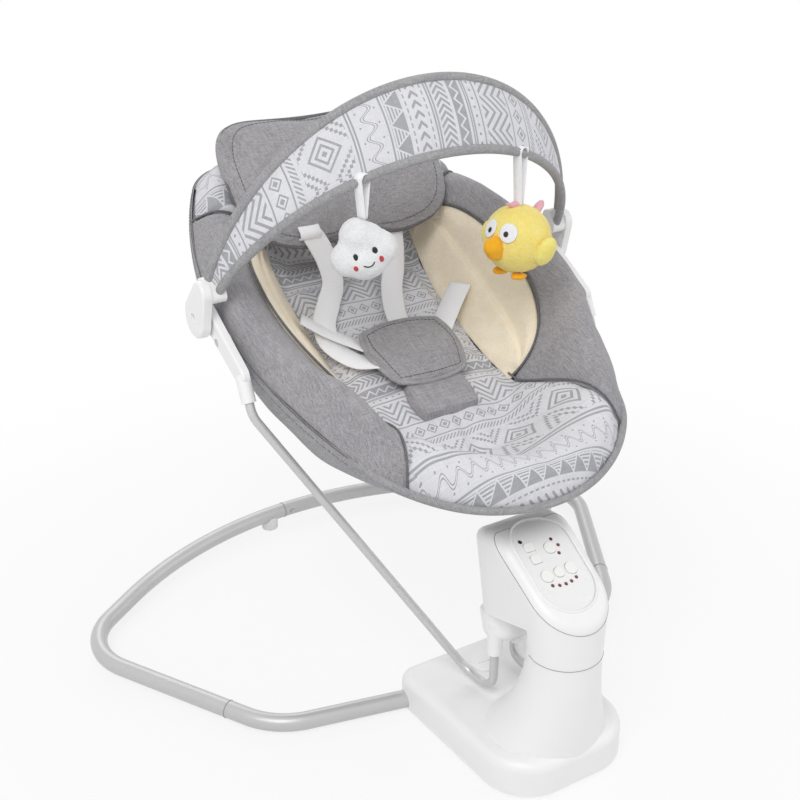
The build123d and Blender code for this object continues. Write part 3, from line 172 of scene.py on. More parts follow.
# Floor ring: four bent steel tubes pushed together over sleeves, powder coated in a satin grey,
# with sprung steel lock buttons in the joints and a short plastic foot under the rear tube.


def new_tree(name, kind, inputs, outputs):
    """A node group with named sockets; gives the group, its inputs and its outputs."""
    group = bpy.data.node_groups.new(name, kind)
    for label, form, value in inputs:
        socket = group.interface.new_socket(label, in_out="INPUT", socket_type="NodeSocket" + form)
        if value is not None:
            socket.default_value = value
    for label, form in outputs:
        group.interface.new_socket(label, in_out="OUTPUT", socket_type="NodeSocket" + form)
    enter = group.nodes.new("NodeGroupInput")
    leave = group.nodes.new("NodeGroupOutput")
    return group, enter.outputs, leave.inputs


def place_group(tree, group, inputs):
    """One use of a group in a material, with its own values."""
    node = tree.nodes.new("ShaderNodeGroup")
    node.node_tree = group
    feed(tree, node, inputs)
    return node.outputs


def mix_colour(tree, share, first, second):
    """A Mix node on two colours."""
    return wire(tree, "ShaderNodeMix", {0: share, 6: first, 7: second}, 2, data_type="RGBA")


def speckle(tree, place, scale, detail, roughness=0.5):
    """Noise of so many spots to the metre."""
    inputs = {"Vector": place, "Scale": scale, "Detail": detail, "Roughness": roughness}
    return wire(tree, "ShaderNodeTexNoise", inputs)


def ramp(tree, value, low, high):
    """0 below low, 1 above high, and straight between them."""
    return wire(tree, "ShaderNodeMapRange", {"Value": value, "From Min": low, "From Max": high})


surface_grain, grain_in, grain_out = new_tree(
    "surface_grain",
    "ShaderNodeTree",
    [
        ("Coordinates", "Vector", None),
        ("Colour", "Color", (0.8, 0.8, 0.8, 1)),
        ("Worn Colour", "Color", (0.7, 0.7, 0.7, 1)),
        ("Grain Per Metre", "Float", 900.0),
        ("Roughness", "Float", 0.4),
        ("Wear", "Float", 0.1),
    ],
    [("Colour", "Color"), ("Roughness", "Float"), ("Height", "Float")],
)
grain_place = grain_in["Coordinates"]
grain_fine = speckle(surface_grain, grain_place, grain_in["Grain Per Metre"], 2.0)
grain_cloud = speckle(surface_grain, grain_place, 17.0, 5.0, 0.65)
grain_scuff = speckle(surface_grain, grain_place, 130.0, 6.0, 0.75)
scuff_mask = ramp(surface_grain, grain_scuff, 0.56, 0.74)
cloud_mask = ramp(surface_grain, grain_cloud, 0.35, 0.7)
worn_mask = maths(surface_grain, "ADD", scuff_mask, cloud_mask)
wear_mask = maths(surface_grain, "MULTIPLY", worn_mask, grain_in["Wear"])
grain_colour = mix_colour(surface_grain, wear_mask, grain_in["Colour"], grain_in["Worn Colour"])
grain_uneven = maths(surface_grain, "SUBTRACT", grain_cloud, 0.5)
grain_rough = maths(surface_grain, "MULTIPLY_ADD", grain_uneven, 0.25, grain_in["Roughness"])
surface_grain.links.new(grain_colour, grain_out["Colour"])
surface_grain.links.new(grain_rough, grain_out["Roughness"])
surface_grain.links.new(grain_fine, grain_out["Height"])


def bump(tree, shader, height, strength, depth):
    """Feeds a height into the shader's normal."""
    inputs = {"Height": height, "Strength": strength, "Distance": depth}
    tree.links.new(wire(tree, "ShaderNodeBump", inputs), shader.inputs["Normal"])


def hard_finish(name, colour, worn, roughness, grain=900.0, wear=0.1, relief=0.12, **sockets):
    """A moulded or painted surface: fine grain, faint clouding and small scuffs."""
    material, tree, shader = new_material(name)
    spread = place_group(
        tree,
        surface_grain,
        {
            "Coordinates": wire(tree, "ShaderNodeTexCoord", output="Object"),
            "Colour": tint(colour),
            "Worn Colour": tint(worn),
            "Grain Per Metre": grain,
            "Roughness": roughness,
            "Wear": wear,
        },
    )
    tree.links.new(spread["Colour"], shader.inputs["Base Color"])
    tree.links.new(spread["Roughness"], shader.inputs["Roughness"])
    bump(tree, shader, spread["Height"], relief, 0.0004)
    set_sockets(shader, **sockets)
    return material


def dress(material, *nodes):
    """Gives CAD solids their finish."""
    for name in nodes:
        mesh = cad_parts[name].data
        mesh.materials.clear()
        mesh.materials.append(material)


satin = {"Metallic": 0.25, "Coat_Weight": 0.25, "Coat_Roughness": 0.22}
ring_paint = hard_finish(
    "ring_paint", (198, 198, 199), (178, 178, 180), 0.34, grain=700.0, wear=0.16, relief=0.1, **satin
)
bare_steel = hard_finish(
    "bare_steel", (196, 196, 198), (150, 150, 152), 0.28, grain=1500.0, wear=0.2, Metallic=1.0
)
foot_plastic = hard_finish("foot_plastic", (236, 236, 235), (214, 213, 210), 0.45, wear=0.14)
foot_rubber = hard_finish(
    "foot_rubber", (96, 97, 99), (74, 75, 77), 0.8, grain=1400.0, wear=0.3, relief=0.3
)
dress(ring_paint, "ring_front_left_tube", "ring_front_right_tube", "ring_left_tube", "ring_right_tube")
dress(bare_steel, "tube_sleeves", "tube_lock_button_left", "tube_lock_button_right")
dress(bare_steel, "tube_lock_button_rear", "bracket_screws", "pivot_shaft")
dress(foot_plastic, "rear_foot")
dress(foot_rubber, "rubber_feet")


def steps(first, last, count):
    """Numbers from first to last in equal steps, both ends included."""
    return [first + (last - first) * k / count for k in range(count + 1)]


piping_tree, piping_in, piping_out = new_tree(
    "piping",
    "GeometryNodeTree",
    [
        ("Line", "Geometry", None),
        ("Radius", "Float", 0.002),
        ("Sides", "Int", 8),
        ("Cloth", "Material", None),
    ],
    [("Mesh", "Geometry")],
)
piping_line = wire(piping_tree, "GeometryNodeMeshToCurve", {"Mesh": piping_in["Line"]})
piping_ring = wire(
    piping_tree,
    "GeometryNodeCurvePrimitiveCircle",
    {"Resolution": piping_in["Sides"], "Radius": piping_in["Radius"]},
)
piping_tube = wire(
    piping_tree,
    "GeometryNodeCurveToMesh",
    {"Curve": piping_line, "Profile Curve": piping_ring, "Fill Caps": True},
)
piping_smooth = wire(piping_tree, "GeometryNodeSetShadeSmooth", {0: piping_tube})
piping_real = wire(piping_tree, "GeometryNodeRealizeInstances", {0: piping_smooth})
piping_done = wire(
    piping_tree, "GeometryNodeSetMaterial", {"Geometry": piping_real, "Material": piping_in["Cloth"]}
)
piping_tree.links.new(piping_done, piping_out["Mesh"])


def run_along(name, lines, tree, body, slot, **inputs):
    """Makes one plain mesh from lines of points with a tree; a line is (points, closed)."""
    points, edges = [], []
    for line, closed in lines:
        first = len(points)
        points += [tuple(p) for p in line]
        edges += [(first + k, first + k + 1) for k in range(len(line) - 1)]
        if closed:
            edges.append((len(points) - 1, first))
    guide_mesh = bpy.data.meshes.new(name + "_guide")
    guide_mesh.from_pydata(points, edges, [])
    guide = bpy.data.objects.new(name + "_guide", guide_mesh)
    scene.collection.objects.link(guide)
    modifier = guide.modifiers.new("tree", "NODES")
    modifier.node_group = tree
    for item in tree.interface.items_tree:
        if item.in_out == "INPUT" and item.name in inputs:
            modifier[item.identifier] = inputs[item.name]
    bpy.context.view_layer.update()
    graph = bpy.context.evaluated_depsgraph_get()
    mesh = bpy.data.meshes.new_from_object(guide.evaluated_get(graph))
    mesh.name = name
    bpy.data.objects.remove(guide)
    piece = bpy.data.objects.new(name, mesh)
    scene.collection.objects.link(piece)
    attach(piece, body)
    return piece


def pipe(name, lines, body, slot, cloth, radius, sides=8):
    """Round piping, a bound edge or the line of a joint."""
    return run_along(name, lines, piping_tree, body, slot, Radius=radius, Sides=sides, Cloth=cloth)


tube_radius = 0.0095
tube_joints = (
    ((-0.250, -0.03142, 0.01223), (-0.5, 0.8658, 0.0196)),
    ((0.250, -0.03142, 0.01223), (0.5, 0.8658, 0.0196)),
    ((-0.020, 0.29395, 0.01961), (0.999, 0.0444, 0.001)),
)
seam_grey = hard_finish("seam_grey", (150, 150, 152), (136, 136, 138), 0.6)
joint_lines = []
for spot, way in tube_joints:
    upright = Vector(way).to_track_quat("Z", "Y")
    circle = [upright @ Vector((math.cos(a), math.sin(a), 0)) for a in steps(0, 2 * math.pi, 48)[:-1]]
    joint_lines.append(([Vector(spot) + tube_radius * out for out in circle], True))
pipe("joint_seams", joint_lines, "base", "tube_paint", seam_grey, 0.0005, 6)

# Drive tower: two white ABS mouldings with a fine spark-eroded grain, a glossier sloping panel,
# pale clear keys, red lamps and a dark window for the remote. The drive and board sit inside.
moulded = {"Coat_Weight": 0.12, "Coat_Roughness": 0.3}
glossy = {"Coat_Weight": 0.3, "Coat_Roughness": 0.15}
clear = {"Coat_Weight": 0.4, "Coat_Roughness": 0.12}
shell_white = hard_finish(
    "shell_white", (245, 245, 245), (233, 233, 233), 0.36, grain=1100.0, relief=0.09, **moulded
)
panel_white = hard_finish(
    "panel_white", (241, 241, 241), (231, 231, 231), 0.26, grain=1500.0, wear=0.08, relief=0.05, **glossy
)
key_clear = hard_finish(
    "key_clear", (246, 246, 244), (234, 234, 232), 0.24, grain=1200.0, relief=0.05, **clear
)
lamp_red = hard_finish("lamp_red", (112, 34, 30), (84, 22, 20), 0.2, relief=0.03, Coat_Weight=0.5)
window_black = hard_finish("window_black", (42, 38, 44), (30, 27, 32), 0.15, relief=0.03, Coat_Weight=0.5)
board_green = hard_finish("board_green", (40, 96, 62), (28, 74, 46), 0.4, grain=500.0)
drive_plastic = hard_finish("drive_plastic", (70, 72, 76), (56, 58, 62), 0.5)
coil_copper = hard_finish("coil_copper", (196, 118, 70), (150, 82, 46), 0.3, grain=300.0, Metallic=1.0)
dress(shell_white, "tower_foot", "tower_column", "tower_head", "base_cover", "swing_hub")
dress(shell_white, "left_bracket", "right_bracket", "left_canopy_disc", "right_canopy_disc")
dress(panel_white, "control_panel")
dress(key_clear, "upper_button", "lower_button", "timer_button")
dress(key_clear, "minus_button", "speed_button", "plus_button")
dress(lamp_red, "indicator_lamps")
dress(window_black, "remote_receiver")
dress(board_green, "control_board")
dress(drive_plastic, "drive_chassis", "magnet_arm")
dress(bare_steel, "pivot_bearings", "drive_magnet")
dress(coil_copper, "drive_coil")

panel_slope = math.radians(31.5)
panel_up = Vector((0, math.cos(panel_slope), math.sin(panel_slope)))
panel_out = Vector((0, -math.sin(panel_slope), math.cos(panel_slope)))
panel_foot = Vector((0, -0.264, 0.2125))
panel_middle = panel_foot + panel_up * 0.024
panel_half = 0.0315
panel_straight = 0.022
panel_clear = 0.08
cap_depth = 0.0075
waist_middle = Vector((0, -0.267, 0.1405))
waist_span = (math.radians(165), math.radians(375))
tower_clear = 0.2


def on_shell(start, way):
    """The first place where a ray meets the tower's mouldings."""
    spots = []
    for name in ("tower_head", "tower_column"):
        hit, spot, normal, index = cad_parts[name].ray_cast(start, way)
        if hit:
            spots.append(spot)
    return min(spots, key=lambda spot: (spot - start).length)


lip_line = []
for end in (1, -1):
    lip_plan = [(panel_half, b) for b in steps(-panel_straight, panel_straight, 20)[:-1]]
    for turn in steps(0, math.pi, 40)[:-1]:
        lip_plan.append((panel_half * math.cos(turn), panel_straight + panel_half * math.sin(turn)))
    for a, b in lip_plan:
        above = panel_middle + Vector((end * a, 0, 0)) + panel_up * end * b + panel_out * panel_clear
        lip_line.append(on_shell(above, -panel_out))
pipe("panel_lip", [(lip_line, True)], "base", "shell_white", shell_white, 0.0015, 10)
cap_line = []
for turn in steps(0, 2 * math.pi, 120)[:-1]:
    way = Vector((1, 0, 0)) * math.cos(turn) + panel_up * math.sin(turn)
    cap_line.append(on_shell(panel_middle - panel_out * cap_depth + way * tower_clear, -way))
waist_line = []
for turn in steps(*waist_span, 72):
    way = Vector((math.cos(turn), math.sin(turn), 0))
    waist_line.append(on_shell(waist_middle + way * tower_clear, -way))
pipe("tower_seams", [(cap_line, True), (waist_line, False)], "base", "shell_white", seam_grey, 0.0004, 6)

# Swing rods: two bent steel rods in the ring's grey paint, clamped in the hub below and screwed
# into white nylon brackets under the seat; a steel hoop inside the sling carries the cloth.
rod_satin = {"Metallic": 0.3, "Coat_Weight": 0.25, "Coat_Roughness": 0.2}
rod_paint = hard_finish(
    "rod_paint", (206, 206, 207), (182, 182, 184), 0.32, grain=800.0, wear=0.18, relief=0.1, **rod_satin
)
dress(rod_paint, "left_swing_rod", "right_swing_rod", "seat_hoop", "canopy_bows")
dress(foot_plastic, "harness_buckle")

# Sling: the outer bag of the seat, one cut of grey heather linen sewn over the hoop, which
# hangs below the rim, pulls in towards the hips and carries all the padding.
seat_tilt = math.radians(24.0)
seat_back = 0.011
seat_rise = 0.400
foot_end = -0.273
head_end = 0.262
rim_middle = (foot_end + head_end) / 2
foot_join = -0.1837
foot_radius = 0.16688
foot_centre = -0.10612
side_radius = 0.438
side_centre = (-0.24, 0.02)
head_join = 0.2309
corner_radius = 0.06
corner_centre = (0.0913, 0.202)
rim_drop = -0.004
crown_high = 0.020
crown_width = 0.030
slope_start = 0.034
slope_width = 0.085
seat_depth = 0.076


def on_seat(x, v, n):
    """A point of the seat: across, along towards the head, and out of the seat's plane."""
    return Vector(
        (
            x,
            seat_back + v * math.cos(seat_tilt) - n * math.sin(seat_tilt),
            seat_rise + v * math.sin(seat_tilt) + n * math.cos(seat_tilt),
        )
    )


def arc(radius, offset):
    """How far an arc stands out beside its centre."""
    return math.sqrt(max(radius**2 - offset**2, 0.0))


def rim_half(v):
    """Half the rim's width: a round foot, long bowed sides and a head with round corners."""
    if v < foot_join:
        return arc(foot_radius, v - foot_centre)
    if v < head_join:
        return side_centre[0] + arc(side_radius, v - side_centre[1])
    return corner_centre[0] + arc(corner_radius, v - corner_centre[1])


def rim_loop(count, first=0.0, last=2 * math.pi):
    """Points round the rim, closest together at the foot and the head."""
    half = (head_end - foot_end) / 2
    closed = math.isclose(last - first, 2 * math.pi)
    loop = []
    for k in range(count):
        turn = first + (last - first) * k / (count if closed else count - 1)
        v = rim_middle - half * math.cos(turn)
        side = 1 if math.sin(turn) >= 0 else -1
        loop.append((side * rim_half(v), v))
    return loop


head_edge = [(x, head_end) for x in steps(-corner_centre[0], corner_centre[0], 60)]
fine_rim = np.array(rim_loop(900) + head_edge)


def inset(x, v):
    """How far a point of the seat's plan lies inside the rim."""
    return float(np.sqrt(((fine_rim - (x, v)) ** 2).sum(1).min()))


def ease(t):
    """A smooth step from 0 to 1."""
    t = min(max(t, 0.0), 1.0)
    return t * t * (3 - 2 * t)


def hollow(i):
    """How deep the seat is at some way in from the rim."""
    return seat_depth * ease((i - slope_start) / slope_width)


def bowl(x, v):
    """Height of the padding: a round crown inside the rim, then down to the seat's floor."""
    i = inset(x, v)
    crown = crown_high * math.sin(min(i / crown_width, 1.0) * math.pi / 2)
    return rim_drop + crown - hollow(i)


def new_piece(name, points, faces, material, uv=None):
    """A mesh object at the origin, smooth, with an optional UV in metres for each point."""
    mesh = bpy.data.meshes.new(name)
    mesh.from_pydata([tuple(p) for p in points], [], faces)
    if uv is not None:
        layer = mesh.uv_layers.new(name="cloth")
        for loop in mesh.loops:
            layer.data[loop.index].uv = uv[loop.vertex_index]
    built = bmesh.new()
    built.from_mesh(mesh)
    bmesh.ops.remove_doubles(built, verts=built.verts, dist=1e-5)
    bmesh.ops.dissolve_degenerate(built, edges=built.edges, dist=1e-6)
    bmesh.ops.recalc_face_normals(built, faces=built.faces)
    built.to_mesh(mesh)
    built.free()
    mesh.materials.append(material)
    mesh.shade_smooth()
    piece = bpy.data.objects.new(name, mesh)
    scene.collection.objects.link(piece)
    return piece


def grid_faces(rows, columns, first=0, closed=False):
    """Quads over rows of points; closed rows run round."""
    faces = []
    for r in range(rows - 1):
        here = first + r * columns
        there = here + columns
        for c in range(columns if closed else columns - 1):
            d = (c + 1) % columns
            faces.append((here + c, here + d, there + d, there + c))
    return faces


def finish_with(piece, kind, **settings):
    """Applies one modifier to a piece."""
    modifier = piece.modifiers.new(kind.lower(), kind)
    for key, value in settings.items():
        setattr(modifier, key, value)
    done = bpy.data.meshes.new_from_object(piece.evaluated_get(bpy.context.evaluated_depsgraph_get()))
    piece.modifiers.clear()
    old = piece.data
    piece.data = done
    bpy.data.meshes.remove(old)
    piece.data.name = piece.name


def fit(piece, body, node=None):
    """Fixes a piece to its body and hides the solid it stands for."""
    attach(piece, body)
    if node:
        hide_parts(node)


heather_linen, linen_in, linen_out = new_tree(
    "heather_linen",
    "ShaderNodeTree",
    [
        ("Coordinates", "Vector", None),
        ("Light", "Color", (0.4, 0.4, 0.4, 1)),
        ("Dark", "Color", (0.2, 0.2, 0.2, 1)),
        ("Threads Per Metre", "Float", 1000.0),
    ],
    [("Colour", "Color"), ("Height", "Float")],
)
linen_place = linen_in["Coordinates"]
slubs = []
for along in ((0.07, 1.0, 1.0), (1.0, 0.07, 0.4)):
    drawn = wire(heather_linen, "ShaderNodeVectorMath", {0: linen_place, 1: along}, operation="MULTIPLY")
    slubs.append(speckle(heather_linen, drawn, linen_in["Threads Per Metre"], 3.0))
linen_sum = maths(heather_linen, "ADD", *slubs)
linen_patch = speckle(heather_linen, linen_place, 26.0, 4.0)
linen_tone = maths(heather_linen, "MULTIPLY_ADD", linen_patch, 0.35, linen_sum)
linen_mix = ramp(heather_linen, linen_tone, 0.88, 1.46)
linen_colour = mix_colour(heather_linen, linen_mix, linen_in["Dark"], linen_in["Light"])
heather_linen.links.new(linen_colour, linen_out["Colour"])
heather_linen.links.new(linen_sum, linen_out["Height"])


def linen(name, light, dark, relief=0.5):
    """Grey heather linen, whose threads run along and across the seat."""
    material, tree, shader = new_material(name)
    place = wire(tree, "ShaderNodeTexCoord", output="Object")
    place = wire(tree, "ShaderNodeMapping", {"Vector": place, "Rotation": (-seat_tilt, 0.0, 0.0)})
    inputs = {"Coordinates": place, "Light": tint(light), "Dark": tint(dark)}
    woven = place_group(tree, heather_linen, inputs)
    tree.links.new(woven["Colour"], shader.inputs["Base Color"])
    bump(tree, shader, woven["Height"], relief, 0.0009)
    set_sockets(shader, Roughness=0.88, Sheen_Weight=0.12, Sheen_Roughness=0.5)
    return material


linen_grey = linen("linen_grey", (176, 174, 177), (134, 132, 136))
linen_edge = linen("linen_edge", (176, 175, 177), (138, 137, 139))
linen_deep = linen("linen_deep", (122, 121, 124), (92, 91, 94))

sling_turns = 168
sling_half = 0.200
sling_long = 0.262
cloth_thick = 0.0016
hem_low = -0.0150
sag_depth = -0.0035
sag_length = 0.1
sag_from = 0.03
sag_to = 0.12
tuck_share = 0.62
tuck_from = -0.13
tuck_length = 0.10
tuck_to = 0.07
sling_levels = (
    (0.0000, -0.0030),
    (-0.0008, -0.0090),
    (-0.0004, -0.0170),
    (0.0025, -0.0300),
    (0.0105, -0.0440),
    (0.0240, -0.0580),
    (0.0440, -0.0710),
    (0.0640, -0.0800),
    (0.0880, -0.0860),
    (0.1160, -0.0885),
    (0.1500, -0.0895),
    (0.1800, -0.0900),
)
sling_loop = rim_loop(sling_turns)
sling_points = []
for inward, drop in sling_levels:
    narrow = 1 - inward / sling_half
    shorten = 1 - inward / sling_long
    belly = ease(inward / sag_from) * (1 - ease(inward / sag_to))
    upper = 1 - ease(inward / tuck_to)
    for x, v in sling_loop:
        sag = sag_depth * math.sin(9 * v / sag_length) * belly
        tuck = 1 - tuck_share * ease((tuck_from - v) / tuck_length) * upper
        low = drop * tuck + sag
        if inward > 0:
            low = min(low, hem_low)
        sling_points.append(on_seat(x * narrow, rim_middle + (v - rim_middle) * shorten, low))
sling_faces = grid_faces(len(sling_levels), sling_turns, closed=True)
last_ring = (len(sling_levels) - 1) * sling_turns
for k in range(sling_turns // 2):
    mirrored = (sling_turns - k - 1, (sling_turns - k) % sling_turns)
    sling_faces.append(tuple(last_ring + c for c in (k, k + 1, *mirrored)))
sling = new_piece("sling_shell", sling_points, sling_faces, linen_grey)
finish_with(sling, "SUBSURF", levels=1, render_levels=1)
finish_with(sling, "SOLIDIFY", thickness=cloth_thick, offset=-1.0)
fit(sling, "swing", "seat_sling")

# Bolsters: two crescent rolls of the same linen, filled with soft wadding, sewn to the rim outside
# and to the seat pad and wing linings inside, so that they stand round the child.
centre_width = 0.086
centre_top = 0.060
centre_top_flare = 0.056
centre_low = -0.100
centre_low_flare = 0.040
centre_low_length = 0.115
wing_foot = -0.090
wing_head = 0.152
wing_width = 0.062
seam_lap = 0.0015
seam_dip = -0.0030
bolster_foot = -0.215
bolster_head = 0.150
bolster_slant = 0.032
bolster_gap = 0.0002
bolster_puff = 0.016
bolster_wave = 0.0014
bolster_thick = (0.002, 0.024)


def centre_half(v):
    """Half the width of the printed centre of the pad, at the sides."""
    if v > centre_top:
        return centre_width + centre_top_flare * (v - centre_top)
    if v > centre_low:
        return centre_width
    return centre_width + centre_low_flare * (centre_low - v) / centre_low_length


def wing_half(v):
    """The outer edge of a wing lining, a leaf with round ends."""
    share = (2 * v - wing_foot - wing_head) / (wing_head - wing_foot)
    return centre_half(v) + wing_width * arc(1, share)


def dome(s, t):
    """1 at the middle of a cover and 0 along its edges."""
    return max(math.sin(math.pi * s) * math.sin(math.pi * t), 0.0)


def crumple(x, y, seed):
    """Soft unevenness of a filled cover."""
    return noise.noise(Vector((x, y, seed)))


def cushion(name, rows, columns, plan, height, thick, material, uv=None):
    """A closed shell: an upper and a lower grid over one plan, sewn together at the edge."""
    points, marks, upper, lower, seam = [], [], {}, {}, []
    for r in range(rows + 1):
        for c in range(columns + 1):
            s, t = r / rows, c / columns
            x, v = plan(s, t)
            upper[r, c] = len(points)
            points.append(on_seat(x, v, height(s, t, x, v)))
            marks.append(uv(s, t, x, v) if uv else (x, v))
            if r in (0, rows) or c in (0, columns):
                seam.append(upper[r, c])
                lower[r, c] = upper[r, c]
            else:
                lower[r, c] = len(points)
                depth = thick[0] + thick[1] * math.sqrt(dome(s, t))
                points.append(on_seat(x, v, height(s, t, x, v) - depth))
                marks.append(marks[-1])
    faces = []
    for r in range(rows):
        for c in range(columns):
            corners = ((r, c), (r, c + 1), (r + 1, c + 1), (r + 1, c))
            faces.append([upper[k] for k in corners])
            faces.append([lower[k] for k in reversed(corners)])
    return new_piece(name, points, faces, material, marks), [points[k].copy() for k in seam]


def stuff(piece, seam, pressure, cap, growth=0.03, frames=16, evening=0):
    """Lets the filling swell a sewn shell: the seam is held, and no point moves further than cap."""
    held = {tuple(round(a, 5) for a in p) for p in seam}
    sewn = [p.index for p in piece.data.vertices if tuple(round(a, 5) for a in p.co) in held]
    piece.vertex_groups.new(name="seam").add(sewn, 1.0, "REPLACE")
    before = [p.co.copy() for p in piece.data.vertices]
    cloth = piece.modifiers.new("filling", "CLOTH")
    cloth.settings.quality = 4
    cloth.settings.mass = 0.15
    cloth.settings.tension_stiffness = 12.0
    cloth.settings.compression_stiffness = 12.0
    cloth.settings.shear_stiffness = 4.0
    cloth.settings.bending_stiffness = 0.4
    cloth.settings.air_damping = 4.0
    cloth.settings.vertex_group_mass = "seam"
    cloth.settings.use_pressure = True
    cloth.settings.uniform_pressure_force = pressure
    cloth.settings.shrink_min = -growth
    cloth.settings.effector_weights.gravity = 0.0
    cloth.collision_settings.use_collision = False
    for step in range(1, frames + 1):
        scene.frame_set(step)
    swollen = piece.evaluated_get(bpy.context.evaluated_depsgraph_get())
    after = [p.co.copy() for p in swollen.data.vertices]
    piece.modifiers.remove(cloth)
    piece.vertex_groups.clear()
    moves = np.array([new - old for old, new in zip(before, after)])
    moves *= np.minimum(1.0, cap / np.maximum(np.linalg.norm(moves, axis=1), 1e-9))[:, None]
    ends = np.array([edge.vertices[:] for edge in piece.data.edges])
    neighbours = np.bincount(ends.ravel(), minlength=len(moves))[:, None]
    for turn in range(evening):
        near = np.zeros_like(moves)
        np.add.at(near, ends[:, 0], moves[ends[:, 1]])
        np.add.at(near, ends[:, 1], moves[ends[:, 0]])
        moves = (moves + near / neighbours) / 2
        moves[sewn] = 0.0
    for p, old, move in zip(piece.data.vertices, before, moves):
        p.co = old + Vector(move)
    scene.frame_set(1)


def finish_cover(piece, node):
    """One subdivision, as the cloth is smooth between its threads, and the cover's place."""
    finish_with(piece, "SUBSURF", levels=1, render_levels=1)
    piece.data.shade_smooth()
    fit(piece, "swing", node)


for side, label in ((-1, "left"), (1, "right")):

    def bolster_plan(s, t):
        v = bolster_foot + s * (bolster_head - bolster_foot + bolster_slant * t)
        inner = max(centre_half(v), wing_half(v) if wing_foot < v < wing_head else 0.0) - seam_lap
        outer = rim_half(v) - bolster_gap
        return side * (min(inner, outer) + (outer - min(inner, outer)) * t), v

    def bolster_height(s, t, x, v):
        ends = min(1.0, 5 * s, 9 * (1 - s)) ** 0.5
        puff = bolster_puff * (max(math.sin(math.pi * t**1.4), 0) ** 0.6) * ends
        wave = bolster_wave * crumple(x * 26, v * 15, 3.1 + side)
        return bowl(x, v) + seam_dip * min(4 * (1 - t), 1.0) + puff + wave * math.sin(math.pi * t)

    bolster, seam = cushion(
        "bolster_" + label, 84, 20, bolster_plan, bolster_height, bolster_thick, linen_grey
    )
    stuff(bolster, seam, pressure=3.0, cap=0.006, growth=0.035, evening=8)
    finish_cover(bolster, label + "_bolster")

# Wing linings: leaf shaped panels of cream fleece sewn between the pad and the bolsters,
# thinly padded, with one soft lengthwise fold where they turn up.
plush_pile, pile_in, pile_out = new_tree(
    "plush_pile",
    "ShaderNodeTree",
    [
        ("Coordinates", "Vector", None),
        ("Colour", "Color", (0.8, 0.8, 0.8, 1)),
        ("Shade", "Color", (0.6, 0.6, 0.6, 1)),
        ("Tufts Per Metre", "Float", 420.0),
    ],
    [("Colour", "Color"), ("Height", "Float")],
)
pile_tuft = wire(
    plush_pile,
    "ShaderNodeTexVoronoi",
    {"Vector": pile_in["Coordinates"], "Scale": pile_in["Tufts Per Metre"], "Randomness": 1.0},
    "Distance",
)
pile_brush = speckle(plush_pile, pile_in["Coordinates"], 70.0, 6.0, 0.7)
pile_tone = maths(plush_pile, "MULTIPLY_ADD", pile_tuft, 0.45, pile_brush)
pile_mix = ramp(plush_pile, pile_tone, 0.45, 0.95)
pile_colour = mix_colour(plush_pile, pile_mix, pile_in["Colour"], pile_in["Shade"])
plush_pile.links.new(pile_colour, pile_out["Colour"])
plush_pile.links.new(maths(plush_pile, "SUBTRACT", pile_brush, pile_tuft), pile_out["Height"])


def plush(name, colour, shade, tufts, relief, sheen):
    """Short brushed pile."""
    material, tree, shader = new_material(name)
    place = wire(tree, "ShaderNodeTexCoord", output="Object")
    inputs = {"Coordinates": place, "Colour": tint(colour), "Shade": tint(shade)}
    pile = place_group(tree, plush_pile, {**inputs, "Tufts Per Metre": tufts})
    tree.links.new(pile["Colour"], shader.inputs["Base Color"])
    bump(tree, shader, pile["Height"], relief, 0.0012)
    set_sockets(shader, Roughness=0.95, Sheen_Weight=sheen, Sheen_Roughness=0.4)
    return material


fleece_cream = plush("fleece_cream", (255, 245, 224), (249, 234, 208), 520.0, 0.4, 0.2)
wing_puff = 0.011
wing_wave = 0.0015
wing_thick = (0.001, 0.012)
fold_depth = -0.0120
fold_place = 0.55
fold_width = 0.06
for side, label in ((-1, "left"), (1, "right")):

    def wing_plan(s, t):
        v = wing_foot + (1 - math.cos(math.pi * s)) / 2 * (wing_head - wing_foot)
        inner = centre_half(v) - seam_lap
        outer = max(wing_half(v), inner)
        return side * (inner + (outer - inner) * t), v

    def wing_height(s, t, x, v):
        puff = wing_puff * dome(s, t) ** 0.6
        fold = fold_depth * math.exp(-(((t - fold_place) / fold_width) ** 2)) * math.sin(math.pi * s)
        wave = wing_wave * crumple(x * 30, v * 22, 9.0)
        return bowl(x, v) + seam_dip + puff + fold + wave * math.sin(math.pi * t)

    wing, seam = cushion("wing_" + label, 56, 18, wing_plan, wing_height, wing_thick, fleece_cream)
    stuff(wing, seam, pressure=1.5, cap=0.002, frames=12)
    finish_cover(wing, label + "_wing_lining")

# Seat pad: a quilted liner of printed cotton over thin wadding, from the head corners to the foot
# edge. The print is rows of plain shapes: diamonds, waves, triangles, chevrons, dots and lines.
print_bands, bands_in, bands_out = new_tree(
    "print_bands",
    "ShaderNodeTree",
    [("Along Row", "Float", 0.0), ("Across Rows", "Float", 0.0), ("Size", "Float", 1.0)],
    [("Motif", "Float")],
)


